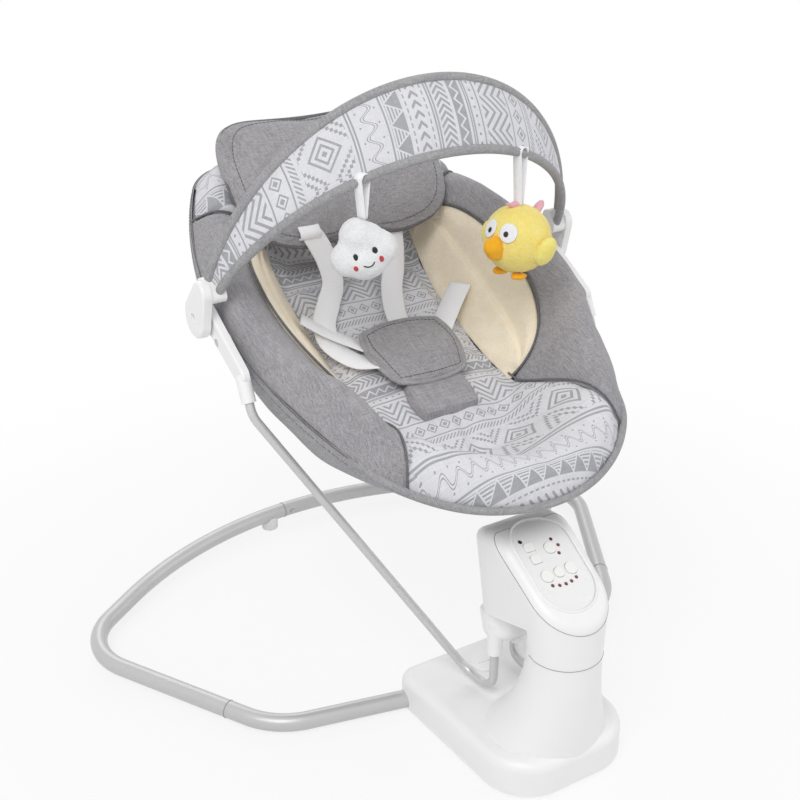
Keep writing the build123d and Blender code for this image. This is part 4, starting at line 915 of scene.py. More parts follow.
def band_sum(tree, along, across):
    """The motif of all rows, one after another, in metres."""

    def op(kind, *values):
        return maths(tree, kind, *values)

    def wave(value, half):
        return op("PINGPONG", value, half)

    def below(value, limit):
        return op("LESS_THAN", value, limit)

    def stripe(value, pitch, share):
        return below(op("FLOORED_MODULO", value, pitch), pitch * share)

    def both(first, second):
        return op("MULTIPLY", first, second)

    def either(first, second):
        return op("MAXIMUM", first, second)

    def between(value, low, high):
        return both(below(value, high), op("GREATER_THAN", value, low))

    def inside(low, high):
        return between(across, low, high)

    def from_line(middle):
        return op("ABSOLUTE", op("SUBTRACT", across, middle))

    def line(middle, half=0.0006):
        return below(from_line(middle), half)

    def dot_row(middle, half_pitch, radius):
        beside = op("SUBTRACT", wave(along, half_pitch), half_pitch)
        above = op("SUBTRACT", across, middle)
        return below(op("ADD", both(beside, beside), both(above, above)), radius**2)

    total = 0.190
    across = op("FLOORED_MODULO", across, total)
    # diamonds in diamonds within two stepped rings, 36 mm
    reach = op("ADD", wave(along, 0.018), from_line(0.018))
    stepped = op("ADD", op("SNAP", wave(along, 0.018), 0.0022), op("SNAP", from_line(0.018), 0.0022))
    rings = either(between(stepped, 0.0190, 0.0219), between(stepped, 0.0255, 0.0285))
    diamonds = either(both(below(reach, 0.0155), stripe(reach, 0.0052, 0.42)), rings)
    rows = [both(below(across, 0.036), diamonds), line(0.0385), line(0.0408)]
    # a double wave between dots, 18 mm
    sway = op("MULTIPLY_ADD", op("SINE", op("MULTIPLY", along, 2 * math.pi / 0.013)), 0.0036, 0.0515)
    beside_wave = op("ABSOLUTE", op("SUBTRACT", across, sway))
    rows += [between(beside_wave, 0.0006, 0.0014), line(0.0625)]
    rows += [dot_row(0.0450, 0.0050, 0.0007), dot_row(0.0582, 0.0050, 0.0007)]
    # solid triangles between hatched ones, 11 mm
    climb = op("SUBTRACT", op("MULTIPLY", wave(along, 0.0075), 1.47), op("SUBTRACT", across, 0.0645))
    hatched = both(op("GREATER_THAN", climb, 0.0010), stripe(across, 0.0022, 0.5))
    rows += [both(inside(0.0645, 0.0755), either(below(climb, -0.0008), hatched))]
    # arrowheads between dashed lines, 10 mm
    arrow = op("ADD", op("FLOORED_MODULO", along, 0.0070), op("MULTIPLY", from_line(0.0855), 1.2))
    rows.append(both(inside(0.0820, 0.0890), between(arrow, 0.0030, 0.0058)))
    for dashed in (0.0788, 0.0922):
        rows.append(both(line(dashed, 0.0005), stripe(along, 0.0050, 0.6)))
    rows += [line(0.0955), line(0.0975)]
    # a feather, 10 mm
    bone = stripe(op("ADD", along, from_line(0.1045)), 0.0046, 0.5)
    rows.append(both(inside(0.0995, 0.1095), bone))
    # a filled band with a pale zigzag, 9 mm
    zigzag = op("ABSOLUTE", op("SUBTRACT", op("SUBTRACT", across, 0.1142), wave(along, 0.0045)))
    rows.append(both(inside(0.1120, 0.1210), op("GREATER_THAN", zigzag, 0.0009)))
    rows += [line(0.1235), line(0.1253), dot_row(0.1290, 0.0030, 0.0010), line(0.1330)]
    # chevrons, 24 mm
    chevron = stripe(op("ADD", across, wave(along, 0.0120)), 0.0066, 0.4)
    rows += [both(inside(0.1360, 0.1600), chevron), line(0.1625)]
    # small diamonds, 12 mm
    small = op("ADD", wave(along, 0.0060), from_line(0.1710))
    small = either(below(small, 0.0022), between(small, 0.0040, 0.0055))
    rows += [both(inside(0.1650, 0.1770), small), line(0.1795)]
    # hatching, 5 mm
    rows.append(both(inside(0.1820, 0.1870), stripe(op("ADD", along, across), 0.0034, 0.45)))
    motif = rows[0]
    for row in rows[1:]:
        motif = either(motif, row)
    return motif


bands_along = maths(print_bands, "DIVIDE", bands_in["Along Row"], bands_in["Size"])
bands_across = maths(print_bands, "DIVIDE", bands_in["Across Rows"], bands_in["Size"])
print_bands.links.new(band_sum(print_bands, bands_along, bands_across), bands_out["Motif"])
print_ground = ((212, 212, 217), (228, 228, 232))
print_ink = (156, 157, 162)


def print_cloth(name, size, rows_along_u, start):
    """Printed cotton: pale ground, grey motif, a fine weave and slightly uneven ink."""
    material, tree, shader = new_material(name)
    place = wire(tree, "ShaderNodeUVMap", uv_map="cloth")
    split = tree.nodes.new("ShaderNodeSeparateXYZ")
    tree.links.new(place, split.inputs[0])
    u, v = split.outputs[0], split.outputs[1]
    shifted = maths(tree, "ADD", u if rows_along_u else v, start)
    rows = {"Along Row": v if rows_along_u else u, "Across Rows": shifted, "Size": size}
    motif = place_group(tree, print_bands, rows)["Motif"]
    threads = {"Light": (1, 1, 1, 1), "Dark": (0, 0, 0, 1), "Threads Per Metre": 900.0}
    woven = place_group(tree, heather_linen, {"Coordinates": place, **threads})
    ink = maths(tree, "MULTIPLY", motif, maths(tree, "MULTIPLY_ADD", woven["Colour"], 0.3, 0.7))
    ground = mix_colour(tree, woven["Colour"], *(tint(colour) for colour in print_ground))
    tree.links.new(mix_colour(tree, ink, ground, tint(print_ink)), shader.inputs["Base Color"])
    bump(tree, shader, woven["Height"], 0.3, 0.0006)
    set_sockets(shader, Roughness=0.85, Sheen_Weight=0.08)
    return material


pad_print = print_cloth("pad_print", 1.25, False, 0.060)
pad_foot_rows = 14
pad_middle_rows = 82
pad_head_rows = 8
pad_rows = pad_foot_rows + pad_middle_rows + pad_head_rows
pad_gap = 0.0012
pad_foot_radius = 0.1657
pad_foot_half = rim_half(bolster_foot) - pad_gap
pad_head_half = rim_half(head_join) - pad_gap
pad_swell = 0.010
pad_swell_width = 0.022
pad_thick = (0.0015, 0.0085)
quilt_lines = (-0.165, -0.060, 0.030, 0.105, 0.175)
quilt_depth = 0.0030
quilt_inset = 0.015
sewn_width = 0.007
leg_x = 0.004
leg_from = -0.105
leg_inset = 0.02
leg_depth = 0.0042
pad_fade = 0.03
pad_wave = 0.0030
pad_crease = 0.0016
print_stretch = (1.04, 1.06)
print_climb = 0.35


def pad_half(v):
    """Half the pad's width: the centre panel, and out to the rim at both ends."""
    outer = rim_half(v) - pad_gap
    flare = min((v - bolster_head) / bolster_slant, 1.0)
    if flare <= 0:
        return min(centre_half(v) + seam_lap, outer)
    return centre_half(v) + (outer - centre_half(v)) * flare + seam_lap * (1 - flare)


def pad_plan(s, t):
    row = s * pad_rows
    across = 2 * t - 1
    if row < pad_foot_rows:
        x = across * pad_foot_half
        edge = foot_centre - arc(pad_foot_radius, x)
        return x, bolster_foot + (edge - bolster_foot) * (1 - row / pad_foot_rows)
    row -= pad_foot_rows
    if row <= pad_middle_rows:
        v = bolster_foot + (head_join - bolster_foot) * row / pad_middle_rows
        return across * pad_half(v), v
    row = (row - pad_middle_rows) / pad_head_rows
    x = across * pad_head_half
    corner = max(abs(x) - corner_centre[0], 0.0)
    edge = corner_centre[1] + arc(corner_radius - pad_gap, corner)
    return x, head_join + (edge - head_join) * row


def groove(distance, width):
    """The dip of a sewn line in the wadding."""
    return math.exp(-((distance / width) ** 2))


def pad_height(s, t, x, v):
    edge = inset(x, v)
    side = max(pad_half(v) - abs(x), 0.0) if bolster_foot < v < bolster_head + bolster_slant else edge
    swell = pad_swell * ease(min(side, edge) / pad_swell_width) + seam_dip
    leg_line = groove(x - leg_x, sewn_width) * ease((leg_from - v) / pad_fade)
    leg_line *= ease((edge - leg_inset) / pad_fade)
    quilting = sum(groove(v - line, sewn_width) for line in quilt_lines)
    uneven = pad_wave * crumple(x * 18, v * 18, 1.7) + pad_crease * crumple(x * 46, v * 30, 4.4)
    inner = ease((edge - quilt_inset) / pad_fade)
    return bowl(x, v) + swell - leg_depth * leg_line + inner * (uneven - quilt_depth * quilting)


def pad_mark(s, t, x, v):
    """The print lies on the cloth, so it climbs the slopes with it."""
    climb = print_climb * hollow(inset(0.0, v)) * (1 if v < 0 else -1)
    return x * print_stretch[0], -v * print_stretch[1] + climb


pad, seam = cushion(
    "seat_cushion", pad_rows, 40, pad_plan, pad_height, pad_thick, pad_print, pad_mark
)
stuff(pad, seam, pressure=1.2, cap=0.003, growth=0.02, frames=10)
finish_cover(pad, "seat_pad")

# Rim binding and seams: linen tape is folded over the rim at the foot and sewn, dark piping is
# caught in the seams of the wings and bolsters, and a row of stitches runs below the rim.
stitch_tree, stitch_in, stitch_out = new_tree(
    "stitches",
    "GeometryNodeTree",
    [
        ("Line", "Geometry", None),
        ("Pitch", "Float", 0.0045),
        ("Length", "Float", 0.0030),
        ("Radius", "Float", 0.0005),
        ("Thread", "Material", None),
    ],
    [("Mesh", "Geometry")],
)
stitch_line = wire(stitch_tree, "GeometryNodeMeshToCurve", {"Mesh": stitch_in["Line"]})
stitch_spots = wire(
    stitch_tree,
    "GeometryNodeResampleCurve",
    {"Curve": stitch_line, "Length": stitch_in["Pitch"]},
    mode="LENGTH",
)
stitch_run = wire(stitch_tree, "GeometryNodeInputTangent")
stitch_turn = wire(stitch_tree, "FunctionNodeAlignRotationToVector", {"Vector": stitch_run}, axis="Z")
stitch_body = wire(
    stitch_tree,
    "GeometryNodeMeshCylinder",
    {"Vertices": 6, "Radius": stitch_in["Radius"], "Depth": stitch_in["Length"]},
)
stitch_set = wire(
    stitch_tree,
    "GeometryNodeInstanceOnPoints",
    {"Points": stitch_spots, "Instance": stitch_body, "Rotation": stitch_turn},
)
stitch_real = wire(stitch_tree, "GeometryNodeRealizeInstances", {0: stitch_set})
stitch_smooth = wire(stitch_tree, "GeometryNodeSetShadeSmooth", {0: stitch_real})
stitch_done = wire(
    stitch_tree, "GeometryNodeSetMaterial", {"Geometry": stitch_smooth, "Material": stitch_in["Thread"]}
)
stitch_tree.links.new(stitch_done, stitch_out["Mesh"])


def stitch(name, line, closed, thread, pitch=0.0048, radius=0.0005):
    """A row of stitches on the seat."""
    sizes = {"Pitch": pitch, "Length": 0.0034, "Radius": radius, "Thread": thread}
    run_along(name, [(line, closed)], stitch_tree, "swing", "linen_grey", **sizes)


def seam_line(plan_points, lift):
    """A line on the padding."""
    return [on_seat(x, v, bowl(x, v) + lift) for x, v in plan_points]


def on_cover(piece, spots, way, lift=0.0002):
    """Lays a line of points on a finished cover, along one direction."""
    bpy.context.view_layer.update()
    graph = bpy.context.evaluated_depsgraph_get()
    laid = []
    for spot in spots:
        hit, place, normal, face = piece.ray_cast(spot - way * 0.1, way, depsgraph=graph)
        if hit:
            laid.append(place + normal * lift)
    return laid


thread_grey = linen("thread_grey", (150, 151, 154), (112, 113, 116), relief=0.2)
foot_turn = 0.95
sides_turn = (foot_turn, 2 * math.pi - foot_turn)
binding_grow = (1.004, 1.003)
binding_low = -0.0022
sink_from = -0.21
sink_length = 0.05
sink_in = 0.022
sink_depth = 0.004
rim_seam_low = -0.0036
stitch_grow = (1.0036, 1.0028)
stitch_low = -0.0115
wing_seam_lift = 0.0012
bolster_seam_lift = 0.0008
foot_line = []
for x, v in rim_loop(120, -foot_turn, foot_turn):
    sink = ease((v - sink_from) / sink_length)
    beside = x * (binding_grow[0] - sink_in * sink)
    foot_line.append(on_seat(beside, v * binding_grow[1], binding_low - sink_depth * sink))
side_line = [on_seat(x, v, rim_seam_low) for x, v in rim_loop(260, *sides_turn)]
pipe("foot_binding", [(foot_line, False)], "swing", "linen_grey", linen_edge, 0.0036, 10)
pipe("rim_seam", [(side_line, False)], "swing", "linen_grey", linen_deep, 0.0007)

wing_lines, bolster_lines = [], []
leaf = [wing_foot + (wing_head - wing_foot) * (1 - math.cos(a)) / 2 for a in steps(0, math.pi, 80)]
leg_seam = steps(bolster_foot, wing_foot + 0.006, 32)
head_seam = steps(bolster_head, bolster_head + bolster_slant, 14)
for side in (-1, 1):
    leaf_edge = [(side * max(wing_half(v), centre_half(v)), v) for v in leaf]
    wing_lines.append((seam_line(leaf_edge, wing_seam_lift), False))
    for half, places in ((centre_half, leg_seam), (pad_half, head_seam)):
        edge = [(side * half(v), v) for v in places]
        bolster_lines.append((seam_line(edge, bolster_seam_lift), False))
pipe("wing_piping", wing_lines, "swing", "linen_grey", linen_deep, 0.0014)
pipe("bolster_piping", bolster_lines, "swing", "linen_grey", linen_deep, 0.0012)
stitch_plan = [(x * stitch_grow[0], v * stitch_grow[1]) for x, v in rim_loop(240, *sides_turn)]
rim_row = [on_seat(x, v, stitch_low) for x, v in stitch_plan]
stitch("rim_stitches", rim_row, False, thread_grey, pitch=0.0052, radius=0.0004)

# Head pillow: a bow shaped cushion of the same linen, tied in at its middle, with a piped seam
# round its edge. It lies against the head end and leans up off the pad.
pillow_v = 0.184
pillow_n = 0.0190
pillow_lean = math.radians(22.0)
pillow_half = 0.127
pillow_high = 0.074
pillow_thick = 0.030
pillow_end_lift = 0.016
pillow_back_share = 0.9
pillow_tie = (0.38, 0.16)
pillow_wave = 0.0034
pillow_crease = 0.0075
pillow_stitch_share = 0.915
pillow_across = 54
pillow_up = 24


def on_pillow(a, b, c):
    """A point of the pillow: across, up its face, and out of it."""
    v = pillow_v + b * math.cos(pillow_lean) - c * math.sin(pillow_lean)
    lift = pillow_end_lift * (a / pillow_half) ** 2
    n = pillow_n + lift + b * math.sin(pillow_lean) + c * math.cos(pillow_lean)
    return on_seat(a, v, n)


def pillow_edge(u, up):
    """Half the pillow's height at a place across it: two lobes and a waist."""
    lobe = 1.10 if up > 0 else 0.88 + 0.12 * ease(abs(u) / 0.5)
    return pillow_high * lobe * (1 - 0.16 * abs(u) ** 4) * (1 - abs(u) ** 9) ** 0.42


def pillow_round(share):
    """A line round the pillow, at its edge or inside it."""
    line = []
    for up, first, last in ((1, 0, 81), (-1, 1, 80)):
        for k in range(first, last):
            u = math.sin(up * (k / 40 - 1) * math.pi / 2)
            line.append(on_pillow(pillow_half * u * share, up * pillow_edge(u, up) * share, 0.0))
    return line


pillow_points, pillow_faces = [], []
for face in (1, -1):
    quads = grid_faces(pillow_up + 1, pillow_across + 1, len(pillow_points))
    pillow_faces += [quad[::face] for quad in quads]
    for r in range(pillow_up + 1):
        for c in range(pillow_across + 1):
            u = math.sin((2 * c / pillow_across - 1) * math.pi / 2)
            w = math.sin((2 * r / pillow_up - 1) * math.pi / 2)
            full = max((1 - abs(u) ** 3.0) * (1 - abs(w) ** 2.4), 0.0) ** 0.75
            tie = 1 - pillow_tie[0] * groove(u, pillow_tie[1])
            swell = pillow_thick * full * tie * (1.0 if face > 0 else pillow_back_share)
            folds = pillow_wave * full * crumple(u * 5.0, w * 1.6, 2.2 + face)
            creases = groove(u - 0.26 - 0.1 * w, 0.04) + groove(u + 0.30 + 0.1 * w, 0.04)
            folds -= pillow_crease * full * ease((0.6 - w) / 1.2) * creases
            out = face * (swell + folds)
            pillow_points.append(on_pillow(pillow_half * u, pillow_edge(u, w) * w, out))
pillow = new_piece("pillow_cushion", pillow_points, pillow_faces, linen_grey)
pillow_rim = pillow_round(1.0)
stuff(pillow, pillow_rim, pressure=3.0, cap=0.005, growth=0.04)
finish_cover(pillow, "head_pillow")
pipe("pillow_piping", [(pillow_rim, True)], "swing", "linen_grey", linen_deep, 0.0028)
pillow_way = on_pillow(0, 0, -1) - on_pillow(0, 0, 0)
pillow_row = on_cover(pillow, pillow_round(pillow_stitch_share), pillow_way)
stitch("pillow_stitches", pillow_row, True, linen_deep)

# Harness: white polyester webbing, 25 mm wide, looped at the shoulders and short at the waist; a
# padded linen shield covers the buckle, and the crotch strap below it is a short padded block.
webbing_width = 0.025
webbing_thick = 0.0018
webbing_section = ((-0.5, 0.0), (-0.46, 0.5), (0.46, 0.5), (0.5, 0.0), (0.46, -0.5), (-0.46, -0.5))


def webbing_cloth(name, light, dark):
    """Ribbed woven tape: ribs across and threads along."""
    material, tree, shader = new_material(name)
    place = wire(tree, "ShaderNodeUVMap", uv_map="cloth")
    ribs = []
    for scale, distortion, direction in ((190.0, 0.6, "X"), (260.0, 0.4, "Y")):
        inputs = {"Vector": place, "Scale": scale, "Distortion": distortion, "Detail": 1.0}
        ribs.append(wire(tree, "ShaderNodeTexWave", inputs, "Fac", bands_direction=direction))
    weave = maths(tree, "MULTIPLY", maths(tree, "ADD", *ribs), 0.5)
    tree.links.new(mix_colour(tree, weave, tint(dark), tint(light)), shader.inputs["Base Color"])
    bump(tree, shader, weave, 0.5, 0.0005)
    set_sockets(shader, Roughness=0.7, Sheen_Weight=0.1)
    return material


webbing_white = webbing_cloth("webbing_white", (255, 255, 255), (240, 240, 245))


def smooth_path(line):
    """A smooth line through points, eight steps to each stretch."""
    path = []
    for k in range(len(line) - 1):
        before = line[max(k - 1, 0)]
        here, there = line[k], line[k + 1]
        after = line[min(k + 2, len(line) - 1)]
        for t in steps(0, 1, 8)[:-1]:
            bend = (2 * before - 5 * here + 4 * there - after) * t**2
            twist = (3 * here - before - 3 * there + after) * t**3
            path.append(0.5 * (2 * here + (there - before) * t + bend + twist))
    return path + [line[-1]]


def strap(points, across, width, thick):
    """A flat band along a smooth line; gives its points, faces and UV in metres."""
    path = smooth_path([Vector(p) for p in points])
    made, marks, run = [], [], 0.0
    for k, spot in enumerate(path):
        ahead = (path[min(k + 1, len(path) - 1)] - path[max(k - 1, 0)]).normalized()
        side = Vector(across)
        side = (side - ahead * side.dot(ahead)).normalized()
        out = side.cross(ahead)
        run += (spot - path[max(k - 1, 0)]).length
        for a, b in webbing_section:
            made.append(spot + side * a * width + out * b * thick)
            marks.append((run, a * width))
    corners = len(webbing_section)
    faces = grid_faces(len(path), corners, closed=True)
    faces += [tuple(range(corners))[::-1], tuple(range(len(made) - corners, len(made)))]
    return made, faces, marks


def strap_piece(name, bands, body, node):
    """Several straps as one piece."""
    points, faces, marks = [], [], []
    for made, sides, uv in bands:
        faces += [tuple(k + len(points) for k in side) for side in sides]
        points += made
        marks += uv
    fit(new_piece(name, points, faces, webbing_white, marks), body, node)


def lay(across, *spots):
    """One strap through spots of the seat."""
    return strap([on_seat(*spot) for spot in spots], across, webbing_width, webbing_thick)


shoulder_bands = [
    lay(
        (1, 0, 0),
        (-0.060, 0.140, 0.004),
        (-0.058, 0.122, 0.010),
        (-0.046, 0.103, -0.010),
        (-0.043, 0.082, -0.030),
        (-0.055, 0.064, -0.041),
        (-0.072, 0.040, -0.045),
        (-0.079, 0.010, -0.046),
        (-0.066, -0.020, -0.044),
        (-0.044, -0.032, -0.041),
    ),
    lay(
        (1, 0, 0),
        (0.047, 0.154, 0.004),
        (0.045, 0.136, 0.010),
        (0.046, 0.114, -0.012),
        (0.040, 0.092, -0.032),
        (0.026, 0.068, -0.043),
        (0.013, 0.034, -0.047),
        (0.010, 0.008, -0.047),
        (0.012, -0.020, -0.045),
    ),
]
loop_side = ((0.020, 0.008), (0.004, 0.016), (-0.010, 0.014), (-0.013, 0.008), (-0.008, 0.004))
for x, v in ((-0.060, 0.128), (0.046, 0.142)):
    shoulder_bands.append(lay((1, 0, 0), *((x, v + along, out) for along, out in loop_side)))
waist_side = (
    (0.100, 0.044, -0.034),
    (0.079, 0.026, -0.042),
    (0.058, 0.006, -0.044),
    (0.038, -0.014, -0.044),
)
waist_bands = [lay((0.5 * k, -0.8, 0), *((k * x, v, n) for x, v, n in waist_side)) for k in (-1, 1)]
strap_piece("shoulder_webbing", shoulder_bands, "swing", "shoulder_straps")
strap_piece("waist_webbing", waist_bands, "swing", "waist_straps")

shield_v = -0.0285
shield_half = 0.0445
shield_long = 0.0375
shield_full = 1.17
shield_round_share = 0.32
shield_flare = 0.08
shield_swell = 0.010
shield_wave = 0.0015
shield_thick = (0.001, 0.015)
shield_stitch_share = 0.85


def seat_place(node, shift=0.0):
    """How far along the seat, and out of its plane, the middle of a solid lies."""
    low, high = (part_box(node)[k] for k in (0, 1))
    middle = (low + high) / 2
    y, z = middle.y - seat_back, middle.z - seat_rise
    along = shift + y * math.cos(seat_tilt) + z * math.sin(seat_tilt)
    return along, z * math.cos(seat_tilt) - y * math.sin(seat_tilt)


shield_n = seat_place("crotch_pad")[1]


def shield_plan(s, t):
    """A rounded shield, wider towards the hips."""
    a, b = 2 * t - 1, 2 * s - 1
    round_a = a * math.sqrt(max(1 - shield_round_share * b * b, 0.0))
    round_b = b * math.sqrt(max(1 - shield_round_share * a * a, 0.0))
    x = round_a * shield_half * (1 + shield_flare * b) * shield_full
    return x, shield_v + round_b * shield_long * shield_full


def shield_height(s, t, x, v):
    swell = dome(s, t) ** 0.5
    return shield_n + shield_swell * swell + shield_wave * crumple(x * 30, v * 30, 6.0) * swell


def shield_round(grow, count=96):
    """A line round the shield, at its edge or inside it."""
    line = []
    for k in range(count):
        side, share = divmod(4 * k / count, 1)
        s, t = ((0, share), (share, 1), (1, 1 - share), (1 - share, 0))[int(side)]
        s, t = 0.5 + (s - 0.5) * grow, 0.5 + (t - 0.5) * grow
        x, v = shield_plan(s, t)
        line.append(on_seat(x, v, shield_height(s, t, x, v)))
    return line


shield, seam = cushion(
    "crotch_cushion", 26, 26, shield_plan, shield_height, shield_thick, linen_grey
)
stuff(shield, seam, pressure=2.5, cap=0.003, frames=12)
finish_cover(shield, "crotch_pad")
pipe("crotch_binding", [(shield_round(1.0), True)], "swing", "linen_grey", linen_edge, 0.0026)
seat_in = on_seat(0, 0, -1) - on_seat(0, 0, 0)
shield_row = on_cover(shield, shield_round(shield_stitch_share), seat_in)
stitch("crotch_stitches", shield_row, True, linen_deep)

block_shift = 0.016
block_v, block_n = seat_place("crotch_strap", block_shift)
block_half = (0.033, 0.021, 0.010)
block_full = (1.12, 1.15, 1.2)
block_cells = (20, 10, 6)
block_round = 0.38
block_points, block_faces, block_index = [], [], {}


def block_point(spot):
    """A soft block: a rounded box, crowned on its top."""
    cube = Vector(spot)
    ball = cube.normalized() * max(abs(a) for a in spot)
    soft = [a * half * full for a, half, full in zip(cube.lerp(ball, block_round), block_half, block_full)]
    return on_seat(soft[0], block_v + soft[1], block_n + soft[2])


for axis in range(3):
    u_axis, w_axis = (axis + 1) % 3, (axis + 2) % 3
    for sign in (-1, 1):
        for r in range(block_cells[u_axis]):
            for c in range(block_cells[w_axis]):
                quad = []
                for dr, dc in ((0, 0), (1, 0), (1, 1), (0, 1)):
                    spot = [0.0, 0.0, 0.0]
                    spot[axis] = sign
                    spot[u_axis] = 2 * (r + dr) / block_cells[u_axis] - 1
                    spot[w_axis] = 2 * (c + dc) / block_cells[w_axis] - 1
                    key = tuple(round(k, 4) for k in spot)
                    if key not in block_index:
                        block_index[key] = len(block_points)
                        block_points.append(block_point(spot))
                    quad.append(block_index[key])
                block_faces.append(quad if sign > 0 else quad[::-1])
block = new_piece("crotch_block", block_points, block_faces, linen_grey)
stuff(block, [], pressure=2.0, cap=0.002, growth=0.02, frames=10)
finish_cover(block, "crotch_strap")

# Canopy: one band of printed cotton stretched between two sprung bows, its long edges bound in
# linen round the bows, which turn together on the discs at the seat's sides.
canopy_y = 0.0535
canopy_z = 0.418
front_bow = (math.radians(125.5), 0.194, 0.207)
back_bow = (math.radians(108.7), 0.232, 0.214)
band_turns = steps(math.radians(8.5), math.radians(171.5), 120)
band_rows = 14
band_half = 0.036
band_bulge = 0.010
band_ripple = 0.0006
binding_lift = 0.0002


def on_canopy(turn, share, lift=0.0):
    """A point of the band: from one end to the other, and from the front bow to the back one."""
    angle, reach, half = (a + (b - a) * share for a, b in zip(front_bow, back_bow))
    reach = (reach * (1 + band_bulge * math.sin(math.pi * share)) + lift) * math.sin(turn)
    return Vector(
        (
            -(half + lift) * math.cos(turn),
            canopy_y + reach * math.cos(angle),
            canopy_z + reach * math.sin(angle),
        )
    )


canopy_print = print_cloth("canopy_print", 1.45, True, 0.122)
band_points, band_marks = [], []
band_length = 0.0
last_spot = on_canopy(band_turns[0], 0.5)
for c, turn in enumerate(band_turns):
    spot = on_canopy(turn, 0.5)
    band_length += (spot - last_spot).length
    last_spot = spot
    across = 0.0
    for r, share in enumerate(steps(0, 1, band_rows)):
        ripple = band_ripple * crumple(c * 0.09, share * 2.0, 5.0)
        band_points.append(on_canopy(turn, share, ripple * math.sin(math.pi * share)))
        if r:
            across += (band_points[-1] - band_points[-2]).length
        band_marks.append((band_length, across - band_half))
band_faces = [(a, d, c, b) for a, b, c, d in grid_faces(len(band_turns), band_rows + 1)]
band = new_piece("canopy_cloth", band_points, band_faces, canopy_print, band_marks)
finish_with(band, "SOLIDIFY", thickness=cloth_thick, offset=0.0)
fit(band, "canopy", "canopy_band")
bow_lines = []
for share in (0.0, 1.0):
    bow_lines.append(([on_canopy(turn, share, binding_lift) for turn in band_turns], False))
binding = pipe("canopy_binding", bow_lines, "canopy", "linen_grey", linen_edge, 0.0046, 12)

# Hanging toys: a white plush cloud and a yellow plush chick, each on a white tape looped over the
# front bow; plain embroidered eyes, stuffed with soft fibre.
cloud_white = plush("cloud_white", (247, 247, 247), (228, 229, 232), 650.0, 0.5, 0.25)
chick_yellow = plush("chick_yellow", (253, 238, 150), (246, 222, 112), 600.0, 0.6, 0.3)
chick_orange = plush("chick_orange", (252, 190, 40), (244, 166, 20), 650.0, 0.4, 0.2)
chick_pale = plush("chick_pale", (253, 242, 150), (247, 228, 116), 600.0, 0.5, 0.3)
tuft_pink = plush("tuft_pink", (240, 190, 200), (228, 164, 178), 650.0, 0.4, 0.2)
thread_black = webbing_cloth("thread_black", (40, 38, 40), (24, 22, 24))
thread_white = webbing_cloth("thread_white", (250, 250, 250), (232, 232, 236))
thread_red = webbing_cloth("thread_red", (206, 70, 74), (182, 54, 58))


def lump(name, balls, material, voxel=0.0030, smoothing=6, pile=0.0005):
    """Plush sewn over round parts: the balls are joined by a remesh and brushed to a short pile."""
    built = bmesh.new()
    for centre, size, turn in balls:
        place = Matrix.Translation(centre) @ turn.to_4x4() @ Matrix.Diagonal((*size, 1.0))
        bmesh.ops.create_icosphere(built, subdivisions=4, radius=1.0, matrix=place)
    mesh = bpy.data.meshes.new(name)
    built.to_mesh(mesh)
    built.free()
    piece = bpy.data.objects.new(name, mesh)
    scene.collection.objects.link(piece)
    finish_with(piece, "REMESH", mode="VOXEL", voxel_size=voxel, use_smooth_shade=True)
    finish_with(piece, "SMOOTH", factor=0.5, iterations=smoothing)
    piece.data.materials.clear()
    piece.data.materials.append(material)
    brushed = []
    for p in piece.data.vertices:
        tuft = noise.noise(p.co * 420.0) + 0.6 * noise.noise(p.co * 160.0)
        brushed.append(p.co + p.normal * pile * tuft)
    for p, spot in zip(piece.data.vertices, brushed):
        p.co = spot
    piece.data.shade_smooth()
    return piece


def facing(way):
    """A turn that takes the local axes to across, forwards and up for a toy's face."""
    forwards = Vector(way).normalized()
    across = forwards.cross(Vector((0, 0, 1))).normalized()
    return Matrix((across, forwards, across.cross(forwards))).transposed()


def turned(face, degrees, axis):
    """A face turned about one of its own axes."""
    return face @ Matrix.Rotation(math.radians(degrees), 3, axis)


disc_sides = 20
disc_rings = 5
disc_dome = 0.0014


def button_disc(name, spots, body, material):
    """Small domed ovals sewn on a toy: spots are (centre, half width, half height, face)."""
    points, faces = [], []
    for centre, wide, high, face in spots:
        first = len(points)
        for ring in range(disc_rings):
            rise = ring / disc_rings * math.pi / 2
            for turn in steps(0, 2 * math.pi, disc_sides)[:-1]:
                x = wide * math.cos(turn) * math.cos(rise)
                z = high * math.sin(turn) * math.cos(rise)
                points.append(centre + face @ Vector((x, disc_dome * math.sin(rise), z)))
        top = len(points)
        points.append(centre + face @ Vector((0, disc_dome, 0)))
        faces += grid_faces(disc_rings, disc_sides, first, closed=True)
        inner = top - disc_sides
        faces += [(inner + k, inner + (k + 1) % disc_sides, top) for k in range(disc_sides)]
        faces.append(tuple(range(first, first + disc_sides))[::-1])
    piece = new_piece(name, points, faces, material, [(p.x, p.z) for p in points])
    fit(piece, body)


def on_toy(toy, at, face, across, height, sink=0.0006):
    """The place on a toy's front under a spot of its face."""
    start = at + face @ Vector((across, 0.2, height))
    hit, spot, normal, index = toy.ray_cast(start, face @ Vector((0, -1, 0)))
    return spot - (face @ Vector((0, sink, 0)))


